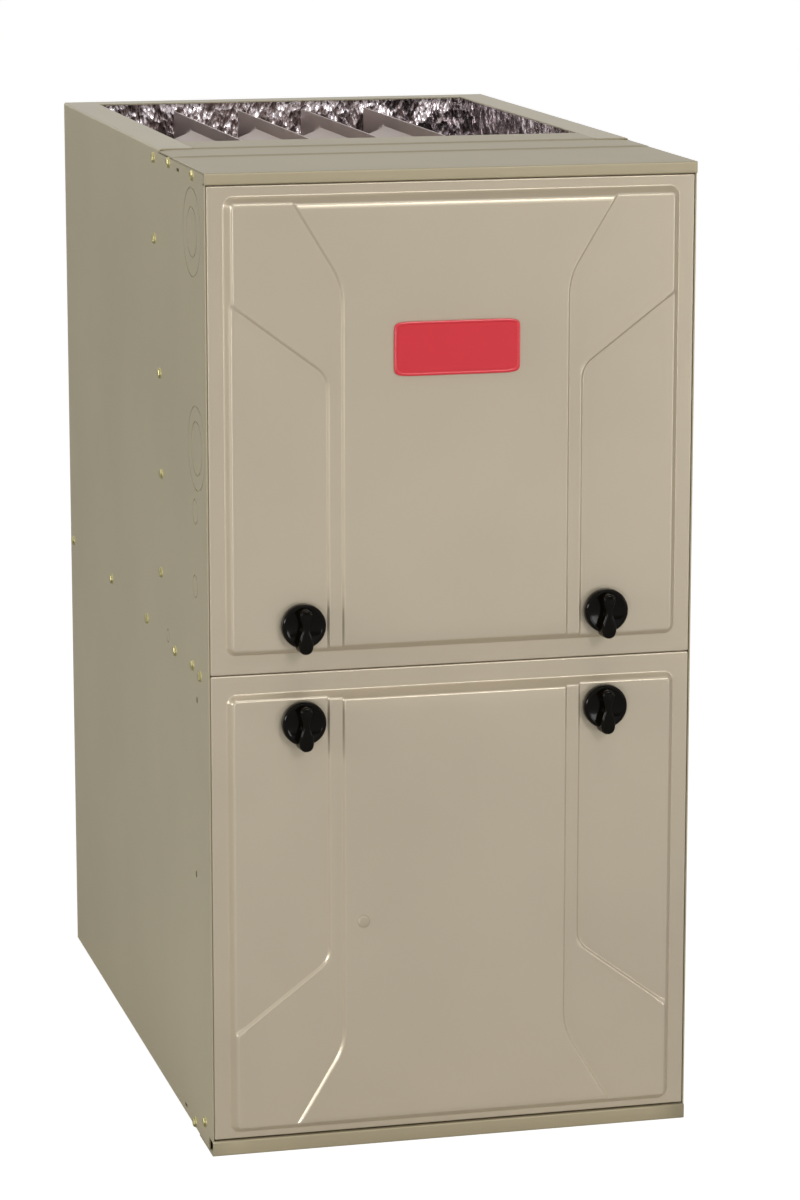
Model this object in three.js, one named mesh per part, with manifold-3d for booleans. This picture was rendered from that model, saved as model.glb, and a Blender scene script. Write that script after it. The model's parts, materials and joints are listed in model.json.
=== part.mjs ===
// Forced air gas furnace: a sheet-metal cabinet with two lift-off doors, a clamshell heat
// exchanger under the open top, the gas train and draft inducer behind the upper door, and
// the blower behind the lower door.
// Millimetres. +X to the right, +Z up, front towards -Y. While the pieces are made, y = 0 is
// the outer face of the doors and z = 0 the floor; the finished group is then centred.

import * as THREE from 'three';
import { mergeVertices } from 'three/addons/utils/BufferGeometryUtils.js';
import Module from 'manifold-3d';

const wasm = await Module();
wasm.setup();

// ---------------------------------------------------------------- driving dimensions

const CABINET_WIDTH = 445;
const CABINET_DEPTH = 724;
const CABINET_HEIGHT = 889;
const GAUGE = 1.2; // cabinet and door sheet
const SEAT = 0.3; // gap between pieces that touch
const RUNNING = 1.0; // gap beside pieces that move

const TOP_FLANGE = 32;
const BOTTOM_FLANGE = 25;
const BACK_BEND = 6;
const STILE_WIDTH = 23;
const DOOR_RETURN = 16; // depth of the doors' folded edges

const CAP_LIP = 10.5;
const CAP_PROUD = 2;
const CAP_STEP = 1.2;
const CAP_FIRST_STEP = 141;
const CAP_SECOND_STEP = 205;
const CAP_REAR_FLANGE = 4;
const OPENING_FRONT = 268; // front edge of the supply opening

const RAIL_HEIGHT = 14;
const RAIL_PROUD = 1.5;
const RAIL_FOOT = 60;
const PANEL_LAP = 15; // bottom panel over the rail's foot
const BEAD_WIDTH = 16;
const BEAD_RISE = 3;
const BEAD_END = 45;
const RAIL_HALF_HEIGHT = 17; // of the centre rail
const RAIL_LEDGE = 26;

const KNOCKOUT_DEPTH = 0.5;
const KNOCKOUT_RING = 2.2;
const KNOCKOUTS = [
  { y: 55, z: CABINET_HEIGHT - 59, radius: 39 },
  { y: 43, z: CABINET_HEIGHT - 249, radius: 37.5 },
  { y: 52, z: CABINET_HEIGHT - 307, radius: 11 },
  { y: 55, z: CABINET_HEIGHT - 375, radius: 10 },
];

const SEAM_HEIGHT = 443.3;
const DOOR_GAP = 1.2;
const DOOR_SIDE_GAP = 0.9;

const FRAME_SIDE = 14.4; // flat border of a door, at its sides
const FRAME_SEAM = 17.5; // at the seam between the doors
const UPPER_FRAME_END = 9.2; // under the cap
const LOWER_FRAME_END = 6.4; // above the rail
const EMBOSS_SLOPE = 0.6; // run of a pressed wall for each millimetre of rise
const EMBOSS_LAP = 1; // depth by which each pressed step reaches into the one behind it
const WING_RISE = 7; // the pressed steps stand out of the doors' border by these amounts
const BAND_RISE = 9.5;
const FIELD_RISE = 12;
const BAND_HALF_WIDTH = 115; // half width between the wings
const FIELD_HALF_WIDTH = 102; // half width of the middle field
const FIELD_FLARE = 144;
const FIELD_BEND = 77;
const BAND_BEND = 157;
const BAND_FLARE = 93;
const FRAME_RADIUS = 9;
const BEND_RADIUS = 22;

const BADGE_WIDTH = 114;
const BADGE_HEIGHT = 48;
const BADGE_THICK = 2.4;
const BADGE_ABOVE_SEAM = 287;
const SIGHT_GLASS_X = -85;
const SIGHT_GLASS_BELOW_SEAM = 229.5;
const SIGHT_GLASS_RADIUS = 5.2;

const KNOB_X = 139;
const KNOB_FROM_SEAM = 44;
const KNOB_RADIUS = 20;
const KNOB_DISC = 9;
const KNOB_GRIP = 7.5;
const KNOB_GRIP_WIDTH = 15;
const KNOB_TAIL = 5;
const KNOB_SHAFT_RADIUS = 5.5;
const CAM_LENGTH = 38;
const CAM_WIDTH = 14;
const CAM_THICK = 3;

const LINER_THICK = 12;
const CELL_PANEL_Y = 215;
const CELL_PANEL_LIP = 16;
const DECK_DROP = 1.5; // deck below the seam
const DECK_FLANGE = 18;

const CELL_COUNT = 4;
const CELL_PITCH = 66;
const CELL_OFFSET = -20;
const CELL_THICK = 44;
const CELL_TOP_DROP = 6;
const CELL_ABOVE_COIL = 48.2;
const CELL_PASS_PARTS = [38, 30, 23]; // heights of the passes, as parts of what they share
const CELL_PASS_GAP = 24;
const CELL_FLANGE = 12;
const CELL_WEB = 1.6;
const CELL_WALL = 1.6;
const CELL_BEVEL = 9;

const COIL_HEIGHT = 100;
const COIL_ABOVE_DECK = 26;
const COIL_WIDTH = 330;
const COIL_FINS = 18;
const COIL_FIN_INSET = 6;
const COIL_FIN_REACH = 36;
const COIL_FIN_SHARE = 0.24; // of the fins' pitch
const COIL_SHEET = 2.5;
const COIL_TUBE_ROWS = 2;
const COIL_TUBES = 7;
const COIL_TUBE_RADIUS = 8;
const COIL_TUBE_PITCH = 42;
const COIL_TUBE_PROUD = 1;
const COUPLING_DEPTH = 40;
const COUPLING_TO_LINER = 12.7;
const COUPLING_SLOPE = 20;
const COLLECTOR_DEPTH = 18;
const COLLECTOR_WALL = 4;
const COLLECTOR_NECK = 40; // half width of the neck behind the inducer
const SUCTION_RADIUS = 22;

const BURNER_RADIUS = 15;
const BURNER_LENGTH = 84;
const MANIFOLD_RADIUS = 10.5;
const MANIFOLD_Y = 88;
const RACK_TOP_DROP = 6.7; // rack plate's top edge below the cells' top
const RACK_BELOW = 34; // rack plate below the burners' axis
const RACK_FLANGE = 12;
const RACK_END = 14;
const RACK_STAND = 30; // rack plate before the cell panel
const VALVE_WIDTH = 58;
const VALVE_FROM_RACK = 22;
const VALVE_HALF_DEPTH = 28;
const VALVE_INLET_RADIUS = 14;
const VALVE_INLET_LENGTH = 14;
const VALVE_TAP_INSET = 12;
const VALVE_TAP_RISE = 14;
const REGULATOR_HEIGHT = 24;
const REGULATOR_INSET = 16;
const LEVER_LENGTH = 20;
const BRACKET_THICK = 1.5;
const IGNITER_LENGTH = 24;
const FLAME_ROD_LENGTH = 30;
const SWITCH_CAN_RADIUS = 8;

const INDUCER_X = 40;
const INDUCER_SHARE = 0.438; // height of the inducer's axis between the deck and the burners
const INDUCER_WHEEL_RADIUS = 52;
const INDUCER_DEPTH = 46;
const INDUCER_MOTOR_RADIUS = 40;
const INDUCER_MOTOR_LENGTH = 58;
const VENT_RADIUS = 29;

const PRESSURE_SWITCH_RADIUS = 30;
const PRESSURE_SWITCH_DEPTH = 26;
const PRESSURE_SWITCH_DROP = 128; // below the burners' axis
const PRESSURE_HOSE_RADIUS = 3.2;
const PRESSURE_PORT = 4; // length of the hose port in front of the switch
const HOSE_ASIDE = 24;
const HOSE_BOW = 22;
const HOSE_TAP_DROP = 18;
const TRAP_LEFT = 22; // trap to the left and right of its spout
const TRAP_RIGHT = 26;
const TRAP_DEPTH = 42;
const TRAP_FOOT = 30;
const TRAP_SHOULDER = 62;
const TRAP_HEIGHT = 80;
const TRAP_NIPPLE = 14; // nipple above the trap's foot
const DRAIN_RADIUS = 7;
const JUNCTION_WIDTH = 54;
const JUNCTION_DEPTH = 62;
const JUNCTION_HEIGHT = 92;
const JUNCTION_Y = 70;
const JUNCTION_ABOVE_DECK = 58.2;

const BLOWER_Y = 395;
const BLOWER_DROP = 206; // shaft below the deck
const BLOWER_WIDTH = 196;
const WHEEL_RADIUS = 118;
const WHEEL_WIDTH = 172;
const WHEEL_BLADES = 24;
const WHEEL_BLADE_DEPTH = 17;
const SCROLL_START = 1.13; // scroll radius at the cut-off, in wheel radii
const SCROLL_END = 1.62;
const SHAFT_RADIUS = 6.35;
const MOTOR_RADIUS = 62;
const MOTOR_LENGTH = 104;
const MOTOR_OUT = 44; // motor out of the wheel's open side
const CAPACITOR_LENGTH = 76;
const CAPACITOR_HALF_DEPTH = 24;
const CAPACITOR_HALF_HEIGHT = 14;

const TRAY_Y = 96;
const TRAY_FROM_WALL = 18;
const TRAY_RIGHT = 60;
const TRAY_BELOW_LAMP = 84;
const BOARD_HALF_WIDTH = 74;
const BOARD_BELOW_LAMP = 66;
const BOARD_ABOVE_LAMP = 74;
const BOARD_THICK = 1.6;
const BOARD_STAND = 10;
const RELAY_WIDTH = 28;
const RELAY_HEIGHT = 30;
const RELAY_DEPTH = 16;
const RELAY_PITCH = 38;
const TRANSFORMER_X = 28;
const TRANSFORMER_ABOVE_LAMP = 110;
const TRANSFORMER_CORE = [26, 34, 22]; // half width, depth and half height
const TRANSFORMER_COIL = [17, 46, 30];
const INTERLOCK_X = 20;
const INTERLOCK_Y = 34;
const INTERLOCK_BELOW_RAIL = 22;
const INTERLOCK_DEPTH = 26;
const GUIDE_HALF_WIDTH = 6;
const GUIDE_HALF_HEIGHT = 5;
const STRIKER_HALF_WIDTH = 9;
const STRIKER_FOOT = 7;

// ---------------------------------------------------------------- materials

const finish = {
  paint: { color: 0xb0a48e, roughness: 0.42, metalness: 0.35 },
  sidePaint: { color: 0x9a9078, roughness: 0.5, metalness: 0.3 },
  capPaint: { color: 0xaca487, roughness: 0.45, metalness: 0.3 },
  knobPlastic: { color: 0x120d0a, roughness: 0.12, metalness: 0 },
  blackPlastic: { color: 0x1c1b1a, roughness: 0.45, metalness: 0 },
  badgeRed: { color: 0xc8353a, roughness: 0.3, metalness: 0 },
  glass: { color: 0xb7ab98, roughness: 0.15, metalness: 0 },
  foil: { color: 0xc9c7c6, roughness: 0.25, metalness: 0.9 },
  cellSteel: { color: 0x8a7b74, roughness: 0.45, metalness: 0.6 },
  galvanised: { color: 0xa9adae, roughness: 0.4, metalness: 0.8 },
  aluminium: { color: 0xbfc2c4, roughness: 0.35, metalness: 0.9 },
  castGrey: { color: 0x8d9092, roughness: 0.5, metalness: 0.6 },
  blackPipe: { color: 0x2b2b2a, roughness: 0.6, metalness: 0.3 },
  motorBlack: { color: 0x26282a, roughness: 0.5, metalness: 0.3 },
  boardGreen: { color: 0x2c5a3c, roughness: 0.5, metalness: 0 },
  ceramic: { color: 0xdcd8cc, roughness: 0.7, metalness: 0 },
  leverWhite: { color: 0xe3e1da, roughness: 0.4, metalness: 0 },
  resetRed: { color: 0xa62a22, roughness: 0.4, metalness: 0 },
};

const furnace = new THREE.Group();

function addPart(name, solid, look) {
  const mesh = new THREE.Mesh(geometryOf(solid), new THREE.MeshStandardMaterial(finish[look]));
  mesh.name = name;
  furnace.add(mesh);
}

// ---------------------------------------------------------------- solids from three.js shapes

// A closed three.js geometry as a solid that can be cut and joined.
function solidOf(geometry) {
  const bare = geometry.index ? geometry.toNonIndexed() : geometry.clone();
  bare.deleteAttribute('normal');
  bare.deleteAttribute('uv');
  const merged = mergeVertices(bare, 1e-4);
  return new wasm.Manifold(new wasm.Mesh({
    numProp: 3,
    vertProperties: new Float32Array(merged.attributes.position.array),
    triVerts: new Uint32Array(merged.index.array),
  }));
}

function geometryOf(solid) {
  const mesh = solid.getMesh();
  const geometry = new THREE.BufferGeometry();
  geometry.setAttribute('position', new THREE.BufferAttribute(mesh.vertProperties, 3));
  geometry.setIndex(new THREE.BufferAttribute(mesh.triVerts, 1));
  geometry.computeVertexNormals();
  return geometry;
}

function joined(solids) {
  return solids.reduce((all, next) => all.add(next));
}

// A box between two corners.
function box(x0, x1, y0, y1, z0, z1) {
  const geometry = new THREE.BoxGeometry(x1 - x0, y1 - y0, z1 - z0);
  geometry.translate((x0 + x1) / 2, (y0 + y1) / 2, (z0 + z1) / 2);
  return solidOf(geometry);
}

function shapeOf(points) {
  return new THREE.Shape(points.map(([u, v]) => new THREE.Vector2(u, v)));
}

// Turns an extrusion of a flat (u, v) outline so that it runs along the named axis:
// along X the outline is (y, z), along Y it is (x, z), along Z it is (x, y).
function prism(axis, points, from, to) {
  const outline = axis === 'y' ? points.map(([u, v]) => [v, u]) : points;
  const geometry = new THREE.ExtrudeGeometry(shapeOf(outline), { depth: to - from, bevelEnabled: false });
  geometry.translate(0, 0, from);
  const basis = new THREE.Matrix4();
  if (axis === 'x') {
    basis.makeBasis(new THREE.Vector3(0, 1, 0), new THREE.Vector3(0, 0, 1), new THREE.Vector3(1, 0, 0));
  }
  if (axis === 'y') {
    basis.makeBasis(new THREE.Vector3(0, 0, 1), new THREE.Vector3(1, 0, 0), new THREE.Vector3(0, 1, 0));
  }
  geometry.applyMatrix4(basis);
  return solidOf(geometry);
}

// A round bar or disc along an axis, centred on (a, b) across it; radii may differ at its ends.
function rod(axis, a, b, from, to, radius, sides = 24, endRadius = radius) {
  const geometry = new THREE.CylinderGeometry(endRadius, radius, to - from, sides);
  geometry.translate(0, (from + to) / 2, 0);
  if (axis === 'x') {
    geometry.rotateZ(-Math.PI / 2);
    geometry.translate(0, a, b);
  }
  if (axis === 'y') {
    geometry.translate(a, 0, b);
  }
  if (axis === 'z') {
    geometry.rotateX(Math.PI / 2);
    geometry.translate(a, b, 0);
  }
  return solidOf(geometry);
}

// A turned piece lying along an axis, centred on (a, b) across it. Its profile of (radius,
// place) points runs from axis to axis or closes on itself, and is turned anticlockwise first.
function turned(axis, points, a, b, sides = 24) {
  const profile = points.map(([r, h]) => new THREE.Vector2(r, h));
  if (THREE.ShapeUtils.area(profile) < 0) {
    profile.reverse();
  }
  const geometry = new THREE.LatheGeometry(profile, sides);
  if (axis === 'x') {
    geometry.rotateZ(-Math.PI / 2);
    geometry.translate(0, a, b);
  }
  if (axis === 'y') {
    geometry.translate(a, 0, b);
  }
  return solidOf(geometry);
}

function rectangle(u0, u1, v0, v1) {
  return [[u0, v0], [u1, v0], [u1, v1], [u0, v1]];
}

// Replaces the inner corners of an outline or an open line by arcs.
function filleted(points, radius, steps = 4, closed = true) {
  const result = [];
  const count = points.length;
  points.forEach((corner, i) => {
    if (!closed && (i === 0 || i === count - 1)) {
      result.push(corner);
      return;
    }
    const at = new THREE.Vector2(...corner);
    const toPrevious = new THREE.Vector2(...points[(i + count - 1) % count]).sub(at);
    const toNext = new THREE.Vector2(...points[(i + 1) % count]).sub(at);
    const reach = Math.min(toPrevious.length(), toNext.length()) * 0.49;
    toPrevious.normalize();
    toNext.normalize();
    const half = Math.acos(THREE.MathUtils.clamp(toPrevious.dot(toNext), -1, 1)) / 2;
    const run = Math.min(radius / Math.tan(half), reach);
    const start = at.clone().addScaledVector(toPrevious, run);
    const end = at.clone().addScaledVector(toNext, run);
    const arc = new THREE.QuadraticBezierCurve(start, at, end);
    arc.getPoints(steps).forEach((p) => result.push([p.x, p.y]));
  });
  return result;
}

// The same outline moved sideways by a distance, to the left of its direction; corners are mitred.
function offset(points, distance, closed = true) {
  const count = points.length;
  return points.map((corner, i) => {
    const at = new THREE.Vector2(...corner);
    const before = closed || i > 0 ? new THREE.Vector2(...points[(i + count - 1) % count]) : null;
    const after = closed || i < count - 1 ? new THREE.Vector2(...points[(i + 1) % count]) : null;
    const into = before ? at.clone().sub(before).normalize() : after.clone().sub(at).normalize();
    const out = after ? after.clone().sub(at).normalize() : into;
    const normalIn = new THREE.Vector2(-into.y, into.x);
    const normalOut = new THREE.Vector2(-out.y, out.x);
    const mitre = normalIn.clone().add(normalOut);
    mitre.multiplyScalar(distance / (1 + normalIn.dot(normalOut)));
    return [at.x + mitre.x, at.y + mitre.y];
  });
}

// The closed section of a bent sheet whose outer face follows an open line.
function bentSheet(line, gauge) {
  return [...line, ...offset(line, gauge, false).reverse()];
}

// A tapered block along Y between two outlines with the same number of (x, z) points.
function loftY(outlineA, yA, outlineB, yB) {
  const count = outlineA.length;
  const positions = [];
  outlineA.forEach(([x, z]) => positions.push(x, yA, z));
  outlineB.forEach(([x, z]) => positions.push(x, yB, z));
  const index = [];
  for (let i = 0; i < count; i += 1) {
    const j = (i + 1) % count;
    index.push(i, count + j, j, i, count + i, count + j);
  }
  const capOf = (outline) => THREE.ShapeUtils.triangulateShape(
    outline.map(([x, z]) => new THREE.Vector2(x, z)),
    [],
  );
  capOf(outlineA).forEach(([a, b, c]) => index.push(a, b, c));
  capOf(outlineB).forEach(([a, b, c]) => index.push(count + a, count + c, count + b));
  const geometry = new THREE.BufferGeometry();
  geometry.setAttribute('position', new THREE.Float32BufferAttribute(positions, 3));
  geometry.setIndex(index);
  return solidOf(geometry);
}

// A bar of round section that follows a curve.
function pipe(points, radius, sides = 12, steps = 20, tension = 0.5) {
  const path = new THREE.CatmullRomCurve3(
    points.map((p) => new THREE.Vector3(...p)),
    false,
    'catmullrom',
    tension,
  );
  const section = [];
  for (let i = 0; i < sides; i += 1) {
    const angle = (i / sides) * Math.PI * 2;
    section.push([radius * Math.cos(angle), radius * Math.sin(angle)]);
  }
  const settings = { steps, extrudePath: path, bevelEnabled: false };
  return solidOf(new THREE.ExtrudeGeometry(shapeOf(section), settings));
}

// A bar of round section along straight stretches, with a mitred ring at each corner.
function tubeAlong(route, radius, sides) {
  const points = route.map((p) => new THREE.Vector3(...p));
  const count = points.length;
  const positions = [];
  const side = new THREE.Vector3(0, 1, 0);
  points.forEach((at, i) => {
    const into = i > 0 ? at.clone().sub(points[i - 1]).normalize() : points[1].clone().sub(at).normalize();
    const out = i < count - 1 ? points[i + 1].clone().sub(at).normalize() : into.clone();
    const along = into.clone().add(out).normalize();
    const stretch = 1 / Math.max(0.3, along.dot(into));
    const across = new THREE.Vector3().crossVectors(along, side).normalize();
    for (let k = 0; k < sides; k += 1) {
      const angle = (k / sides) * Math.PI * 2;
      const p = at.clone()
        .addScaledVector(side, radius * Math.cos(angle))
        .addScaledVector(across, radius * stretch * Math.sin(angle));
      positions.push(p.x, p.y, p.z);
    }
  });
  const index = [];
  for (let i = 0; i < count - 1; i += 1) {
    for (let k = 0; k < sides; k += 1) {
      const a = i * sides + k;
      const b = i * sides + ((k + 1) % sides);
      index.push(a, b, b + sides, a, b + sides, a + sides);
    }
  }
  const last = (count - 1) * sides;
  for (let k = 1; k < sides - 1; k += 1) {
    index.push(0, k + 1, k, last, last + k, last + k + 1);
  }
  const geometry = new THREE.BufferGeometry();
  geometry.setAttribute('position', new THREE.Float32BufferAttribute(positions, 3));
  geometry.setIndex(index);
  return solidOf(geometry);
}

// ---------------------------------------------------------------- cabinet

const halfWidth = CABINET_WIDTH / 2;
const wallInside = halfWidth - GAUGE;
const stileY = DOOR_RETURN + RUNNING;
const stileBack = stileY + GAUGE;
const capTop = CABINET_HEIGHT - 2 * CAP_STEP;
const wallFrontTop = capTop - GAUGE - SEAT;
const openingHalf = halfWidth - TOP_FLANGE;
const openingBack = CABINET_DEPTH - TOP_FLANGE;

// Shallow rings pressed into both side walls round the knockouts for pipes and wires.
function knockoutRings() {
  const rings = [];
  for (const side of [-1, 1]) {
    const from = Math.min(side * (halfWidth - KNOCKOUT_DEPTH), side * (halfWidth + 1));
    const to = Math.max(side * (halfWidth - KNOCKOUT_DEPTH), side * (halfWidth + 1));
    for (const { y, z, radius } of KNOCKOUTS) {
      const sides = radius > 20 ? 24 : 12;
      const disc = rod('x', y, z, from, to, radius, sides);
      const middle = rod('x', y, z, from - 1, to + 1, radius - KNOCKOUT_RING, sides);
      rings.push(disc.subtract(middle));
    }
  }
  return rings;
}

function casingWrap() {
  const plan = filleted(
    [[-halfWidth, 0], [-halfWidth, CABINET_DEPTH], [halfWidth, CABINET_DEPTH], [halfWidth, 0]],
    BACK_BEND,
    3,
    false,
  );
  const walls = prism('z', bentSheet(plan, -GAUGE), 0, CABINET_HEIGHT);
  const rim = (inner, z0) => {
    const rearEdge = halfWidth - BACK_BEND / 2;
    const sideEdge = halfWidth - GAUGE / 2;
    const plate = box(-rearEdge, rearEdge, 0, CABINET_DEPTH - GAUGE / 2, z0, z0 + GAUGE);
    const corner = box(-sideEdge, sideEdge, 0, CABINET_DEPTH - BACK_BEND, z0, z0 + GAUGE);
    const hole = box(-halfWidth + inner, halfWidth - inner, -1, CABINET_DEPTH - inner, z0 - 1, z0 + GAUGE + 1);
    return plate.add(corner).subtract(hole);
  };
  const topFlange = rim(TOP_FLANGE, CABINET_HEIGHT - GAUGE);
  const bottomFlange = rim(BOTTOM_FLANGE, 0);
  const stiles = [-1, 1].map((side) => {
    const inner = side * (halfWidth - STILE_WIDTH);
    const outer = side * (wallInside + GAUGE / 2);
    return box(Math.min(inner, outer), Math.max(inner, outer), stileY, stileBack, 0, wallFrontTop);
  });
  const over = halfWidth + 1;
  const capNotch = box(-over, over, -1, CAP_SECOND_STEP + SEAT, wallFrontTop, CABINET_HEIGHT + 1);
  const railNotch = box(-over, over, -1, stileY - SEAT, -1, RAIL_HEIGHT + SEAT);
  const footNotch = box(-over, over, -1, RAIL_FOOT + SEAT, -1, GAUGE + SEAT);
  const body = joined([walls, topFlange, bottomFlange, ...stiles]);
  return body.subtract(joined([capNotch, railNotch, footNotch, ...knockoutRings()]));
}

addPart('casing_wrap', casingWrap(), 'sidePaint');

function topCap() {
  const line = filleted(
    [
      [-CAP_PROUD, capTop - CAP_LIP],
      [-CAP_PROUD, capTop],
      [CAP_FIRST_STEP, capTop],
    ],
    3,
    3,
    false,
  );
  const top = [
    [CAP_FIRST_STEP + CAP_STEP, capTop + CAP_STEP],
    [CAP_SECOND_STEP, capTop + CAP_STEP],
    [CAP_SECOND_STEP + CAP_STEP, CABINET_HEIGHT],
    [OPENING_FRONT, CABINET_HEIGHT],
    [OPENING_FRONT, CABINET_HEIGHT - CAP_REAR_FLANGE],
  ];
  const sheet = prism('x', bentSheet([...line, ...top], -GAUGE), -halfWidth, halfWidth);
  const sideCuts = [-1, 1].map((side) => {
    const inner = side * (openingHalf - SEAT);
    const outer = side * (halfWidth + 1);
    return box(
      Math.min(inner, outer),
      Math.max(inner, outer),
      CAP_SECOND_STEP - SEAT,
      OPENING_FRONT + 1,
      CABINET_HEIGHT - CAP_REAR_FLANGE - 1,
      CABINET_HEIGHT + 1,
    );
  });
  return sheet.subtract(sideCuts[0]).subtract(sideCuts[1]);
}

addPart('top_cap', topCap(), 'capPaint');

function bottomRail() {
  const line = filleted(
    [
      [stileY - 2 * SEAT, RAIL_HEIGHT],
      [-RAIL_PROUD, RAIL_HEIGHT],
      [-RAIL_PROUD, 0],
      [RAIL_FOOT, 0],
    ],
    2,
    2,
    false,
  );
  return prism('x', bentSheet(line, GAUGE), -halfWidth, halfWidth);
}

addPart('bottom_rail', bottomRail(), 'paint');

function bottomPanel() {
  const edge = wallInside - SEAT;
  const base = GAUGE + SEAT;
  const plate = box(
    -edge,
    edge,
    RAIL_FOOT - PANEL_LAP,
    CABINET_DEPTH - GAUGE - BACK_BEND,
    base,
    base + GAUGE,
  );
  const beadSpan = edge - BEAD_END;
  const beads = [0.25, 0.5, 0.75].map((share) => {
    const y = RAIL_FOOT + (CABINET_DEPTH - RAIL_FOOT) * share;
    const section = [
      [y - BEAD_WIDTH / 2, base + GAUGE / 2],
      [y + BEAD_WIDTH / 2, base + GAUGE / 2],
      [y + BEAD_WIDTH / 4, base + GAUGE + BEAD_RISE],
      [y - BEAD_WIDTH / 4, base + GAUGE + BEAD_RISE],
    ];
    return prism('x', section, -beadSpan, beadSpan);
  });
  return joined([plate, ...beads]);
}

addPart('bottom_panel', bottomPanel(), 'galvanised');

// ---------------------------------------------------------------- doors

// Pressed terraces of a door: the wings beside the knobs, a band inside them and the middle
// field. Rises are from the border, places are (x, distance from the seam) and `end` is the
// far edge of the pressed frame.
function doorTerraces(width, end) {
  const side = width / 2 - FRAME_SIDE;
  const crest = (rise, shrink) => EMBOSS_SLOPE * rise + shrink;
  const wing = crest(WING_RISE, 0);
  const band = crest(BAND_RISE, 0.2);
  const field = crest(FIELD_RISE, 0.4);
  const mirrored = (right) => [...right, ...right.map(([x, v]) => [-x, v]).reverse()];
  return [
    {
      rise: WING_RISE,
      from: 0,
      radius: FRAME_RADIUS,
      outline: mirrored([[side - wing, FRAME_SEAM + wing], [side - wing, end - wing]]),
    },
    {
      rise: BAND_RISE,
      from: WING_RISE,
      radius: BEND_RADIUS,
      outline: mirrored([
        [BAND_HALF_WIDTH, FRAME_SEAM + band],
        [BAND_HALF_WIDTH, end - BAND_BEND],
        [side - band, end - BAND_FLARE],
        [side - band, end - band],
      ]),
    },
    {
      rise: FIELD_RISE,
      from: BAND_RISE,
      radius: BEND_RADIUS,
      outline: mirrored([
        [FIELD_HALF_WIDTH, FRAME_SEAM + field],
        [FIELD_HALF_WIDTH, end - FIELD_BEND],
        [FIELD_FLARE, end - field],
      ]),
    },
  ];
}

// One terrace as a solid block; `inset` draws its outline in, for the hollow behind the sheet.
function terraceBlock(terrace, place, inset) {
  const reach = terrace.rise - terrace.from + EMBOSS_LAP;
  const crest = offset(terrace.outline, inset);
  const base = offset(terrace.outline, inset - EMBOSS_SLOPE * reach);
  const near = filleted(crest, terrace.radius / 2, 4).map(place);
  const far = filleted(base, terrace.radius, 4).map(place);
  return loftY(near, -terrace.rise, far, EMBOSS_LAP - terrace.from);
}

// A pressed sheet door with folded edges, made upwards or downwards from the seam.
function door(seamEdge, up, height, frameEnd, holes) {
  const width = CABINET_WIDTH - 2 * GAUGE - 2 * DOOR_SIDE_GAP;
  const place = ([x, v]) => [up > 0 ? x : -x, seamEdge + up * v];
  const terraces = doorTerraces(width, height - frameEnd);
  const blocks = (inset) => joined(terraces.map((terrace) => terraceBlock(terrace, place, inset)));
  const z0 = Math.min(seamEdge, seamEdge + up * height);
  const z1 = Math.max(seamEdge, seamEdge + up * height);
  const outer = prism('y', filleted(rectangle(-width / 2, width / 2, z0, z1), 2.5, 3), 0, DOOR_RETURN);
  const core = prism(
    'y',
    filleted(rectangle(-width / 2 + GAUGE, width / 2 - GAUGE, z0 + GAUGE, z1 - GAUGE), 1.5, 3),
    GAUGE,
    DOOR_RETURN + 1,
  );
  const hollow = core.add(blocks(EMBOSS_SLOPE * GAUGE).translate([0, GAUGE, 0]));
  const sheet = outer.add(blocks(0)).subtract(hollow);
  const drill = ([x, z, radius]) => rod('y', x, z, -FIELD_RISE - 1, DOOR_RETURN + 1, radius, 20);
  return holes.reduce((all, hole) => all.subtract(drill(hole)), sheet);
}

const upperDoorBottom = SEAM_HEIGHT + DOOR_GAP / 2;
const upperDoorHeight = capTop - CAP_LIP - DOOR_GAP - upperDoorBottom;
const lowerDoorTop = SEAM_HEIGHT - DOOR_GAP / 2;
const lowerDoorHeight = lowerDoorTop - RAIL_HEIGHT - DOOR_GAP;
const interlockZ = SEAM_HEIGHT - RAIL_HALF_HEIGHT - INTERLOCK_BELOW_RAIL;
const knobHole = KNOB_SHAFT_RADIUS + RUNNING;
const knobHoles = (z) => [[-KNOB_X, z, knobHole], [KNOB_X, z, knobHole]];
const upperKnobZ = SEAM_HEIGHT + KNOB_FROM_SEAM;
const lowerKnobZ = SEAM_HEIGHT - KNOB_FROM_SEAM;
const sightGlassZ = SEAM_HEIGHT - SIGHT_GLASS_BELOW_SEAM;

addPart(
  'upper_door',
  door(upperDoorBottom, 1, upperDoorHeight, UPPER_FRAME_END, knobHoles(upperKnobZ)),
  'paint',
);
// A bridge of sheet behind the lower door that presses the interlock's plunger.
function striker() {
  const seat = GAUGE / 2 - FIELD_RISE;
  const line = [
    [INTERLOCK_X - STRIKER_HALF_WIDTH - STRIKER_FOOT, seat],
    [INTERLOCK_X - STRIKER_HALF_WIDTH, seat],
    [INTERLOCK_X - STRIKER_HALF_WIDTH, DOOR_RETURN],
    [INTERLOCK_X + STRIKER_HALF_WIDTH, DOOR_RETURN],
    [INTERLOCK_X + STRIKER_HALF_WIDTH, seat],
    [INTERLOCK_X + STRIKER_HALF_WIDTH + STRIKER_FOOT, seat],
  ];
  return prism('z', bentSheet(line, -GAUGE), interlockZ - STRIKER_FOOT, interlockZ + STRIKER_FOOT);
}

const lowerDoor = door(lowerDoorTop, -1, lowerDoorHeight, LOWER_FRAME_END, [
  ...knobHoles(lowerKnobZ),
  [SIGHT_GLASS_X, sightGlassZ, SIGHT_GLASS_RADIUS - 1],
]);
addPart('lower_door', lowerDoor.add(striker()), 'paint');

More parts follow.
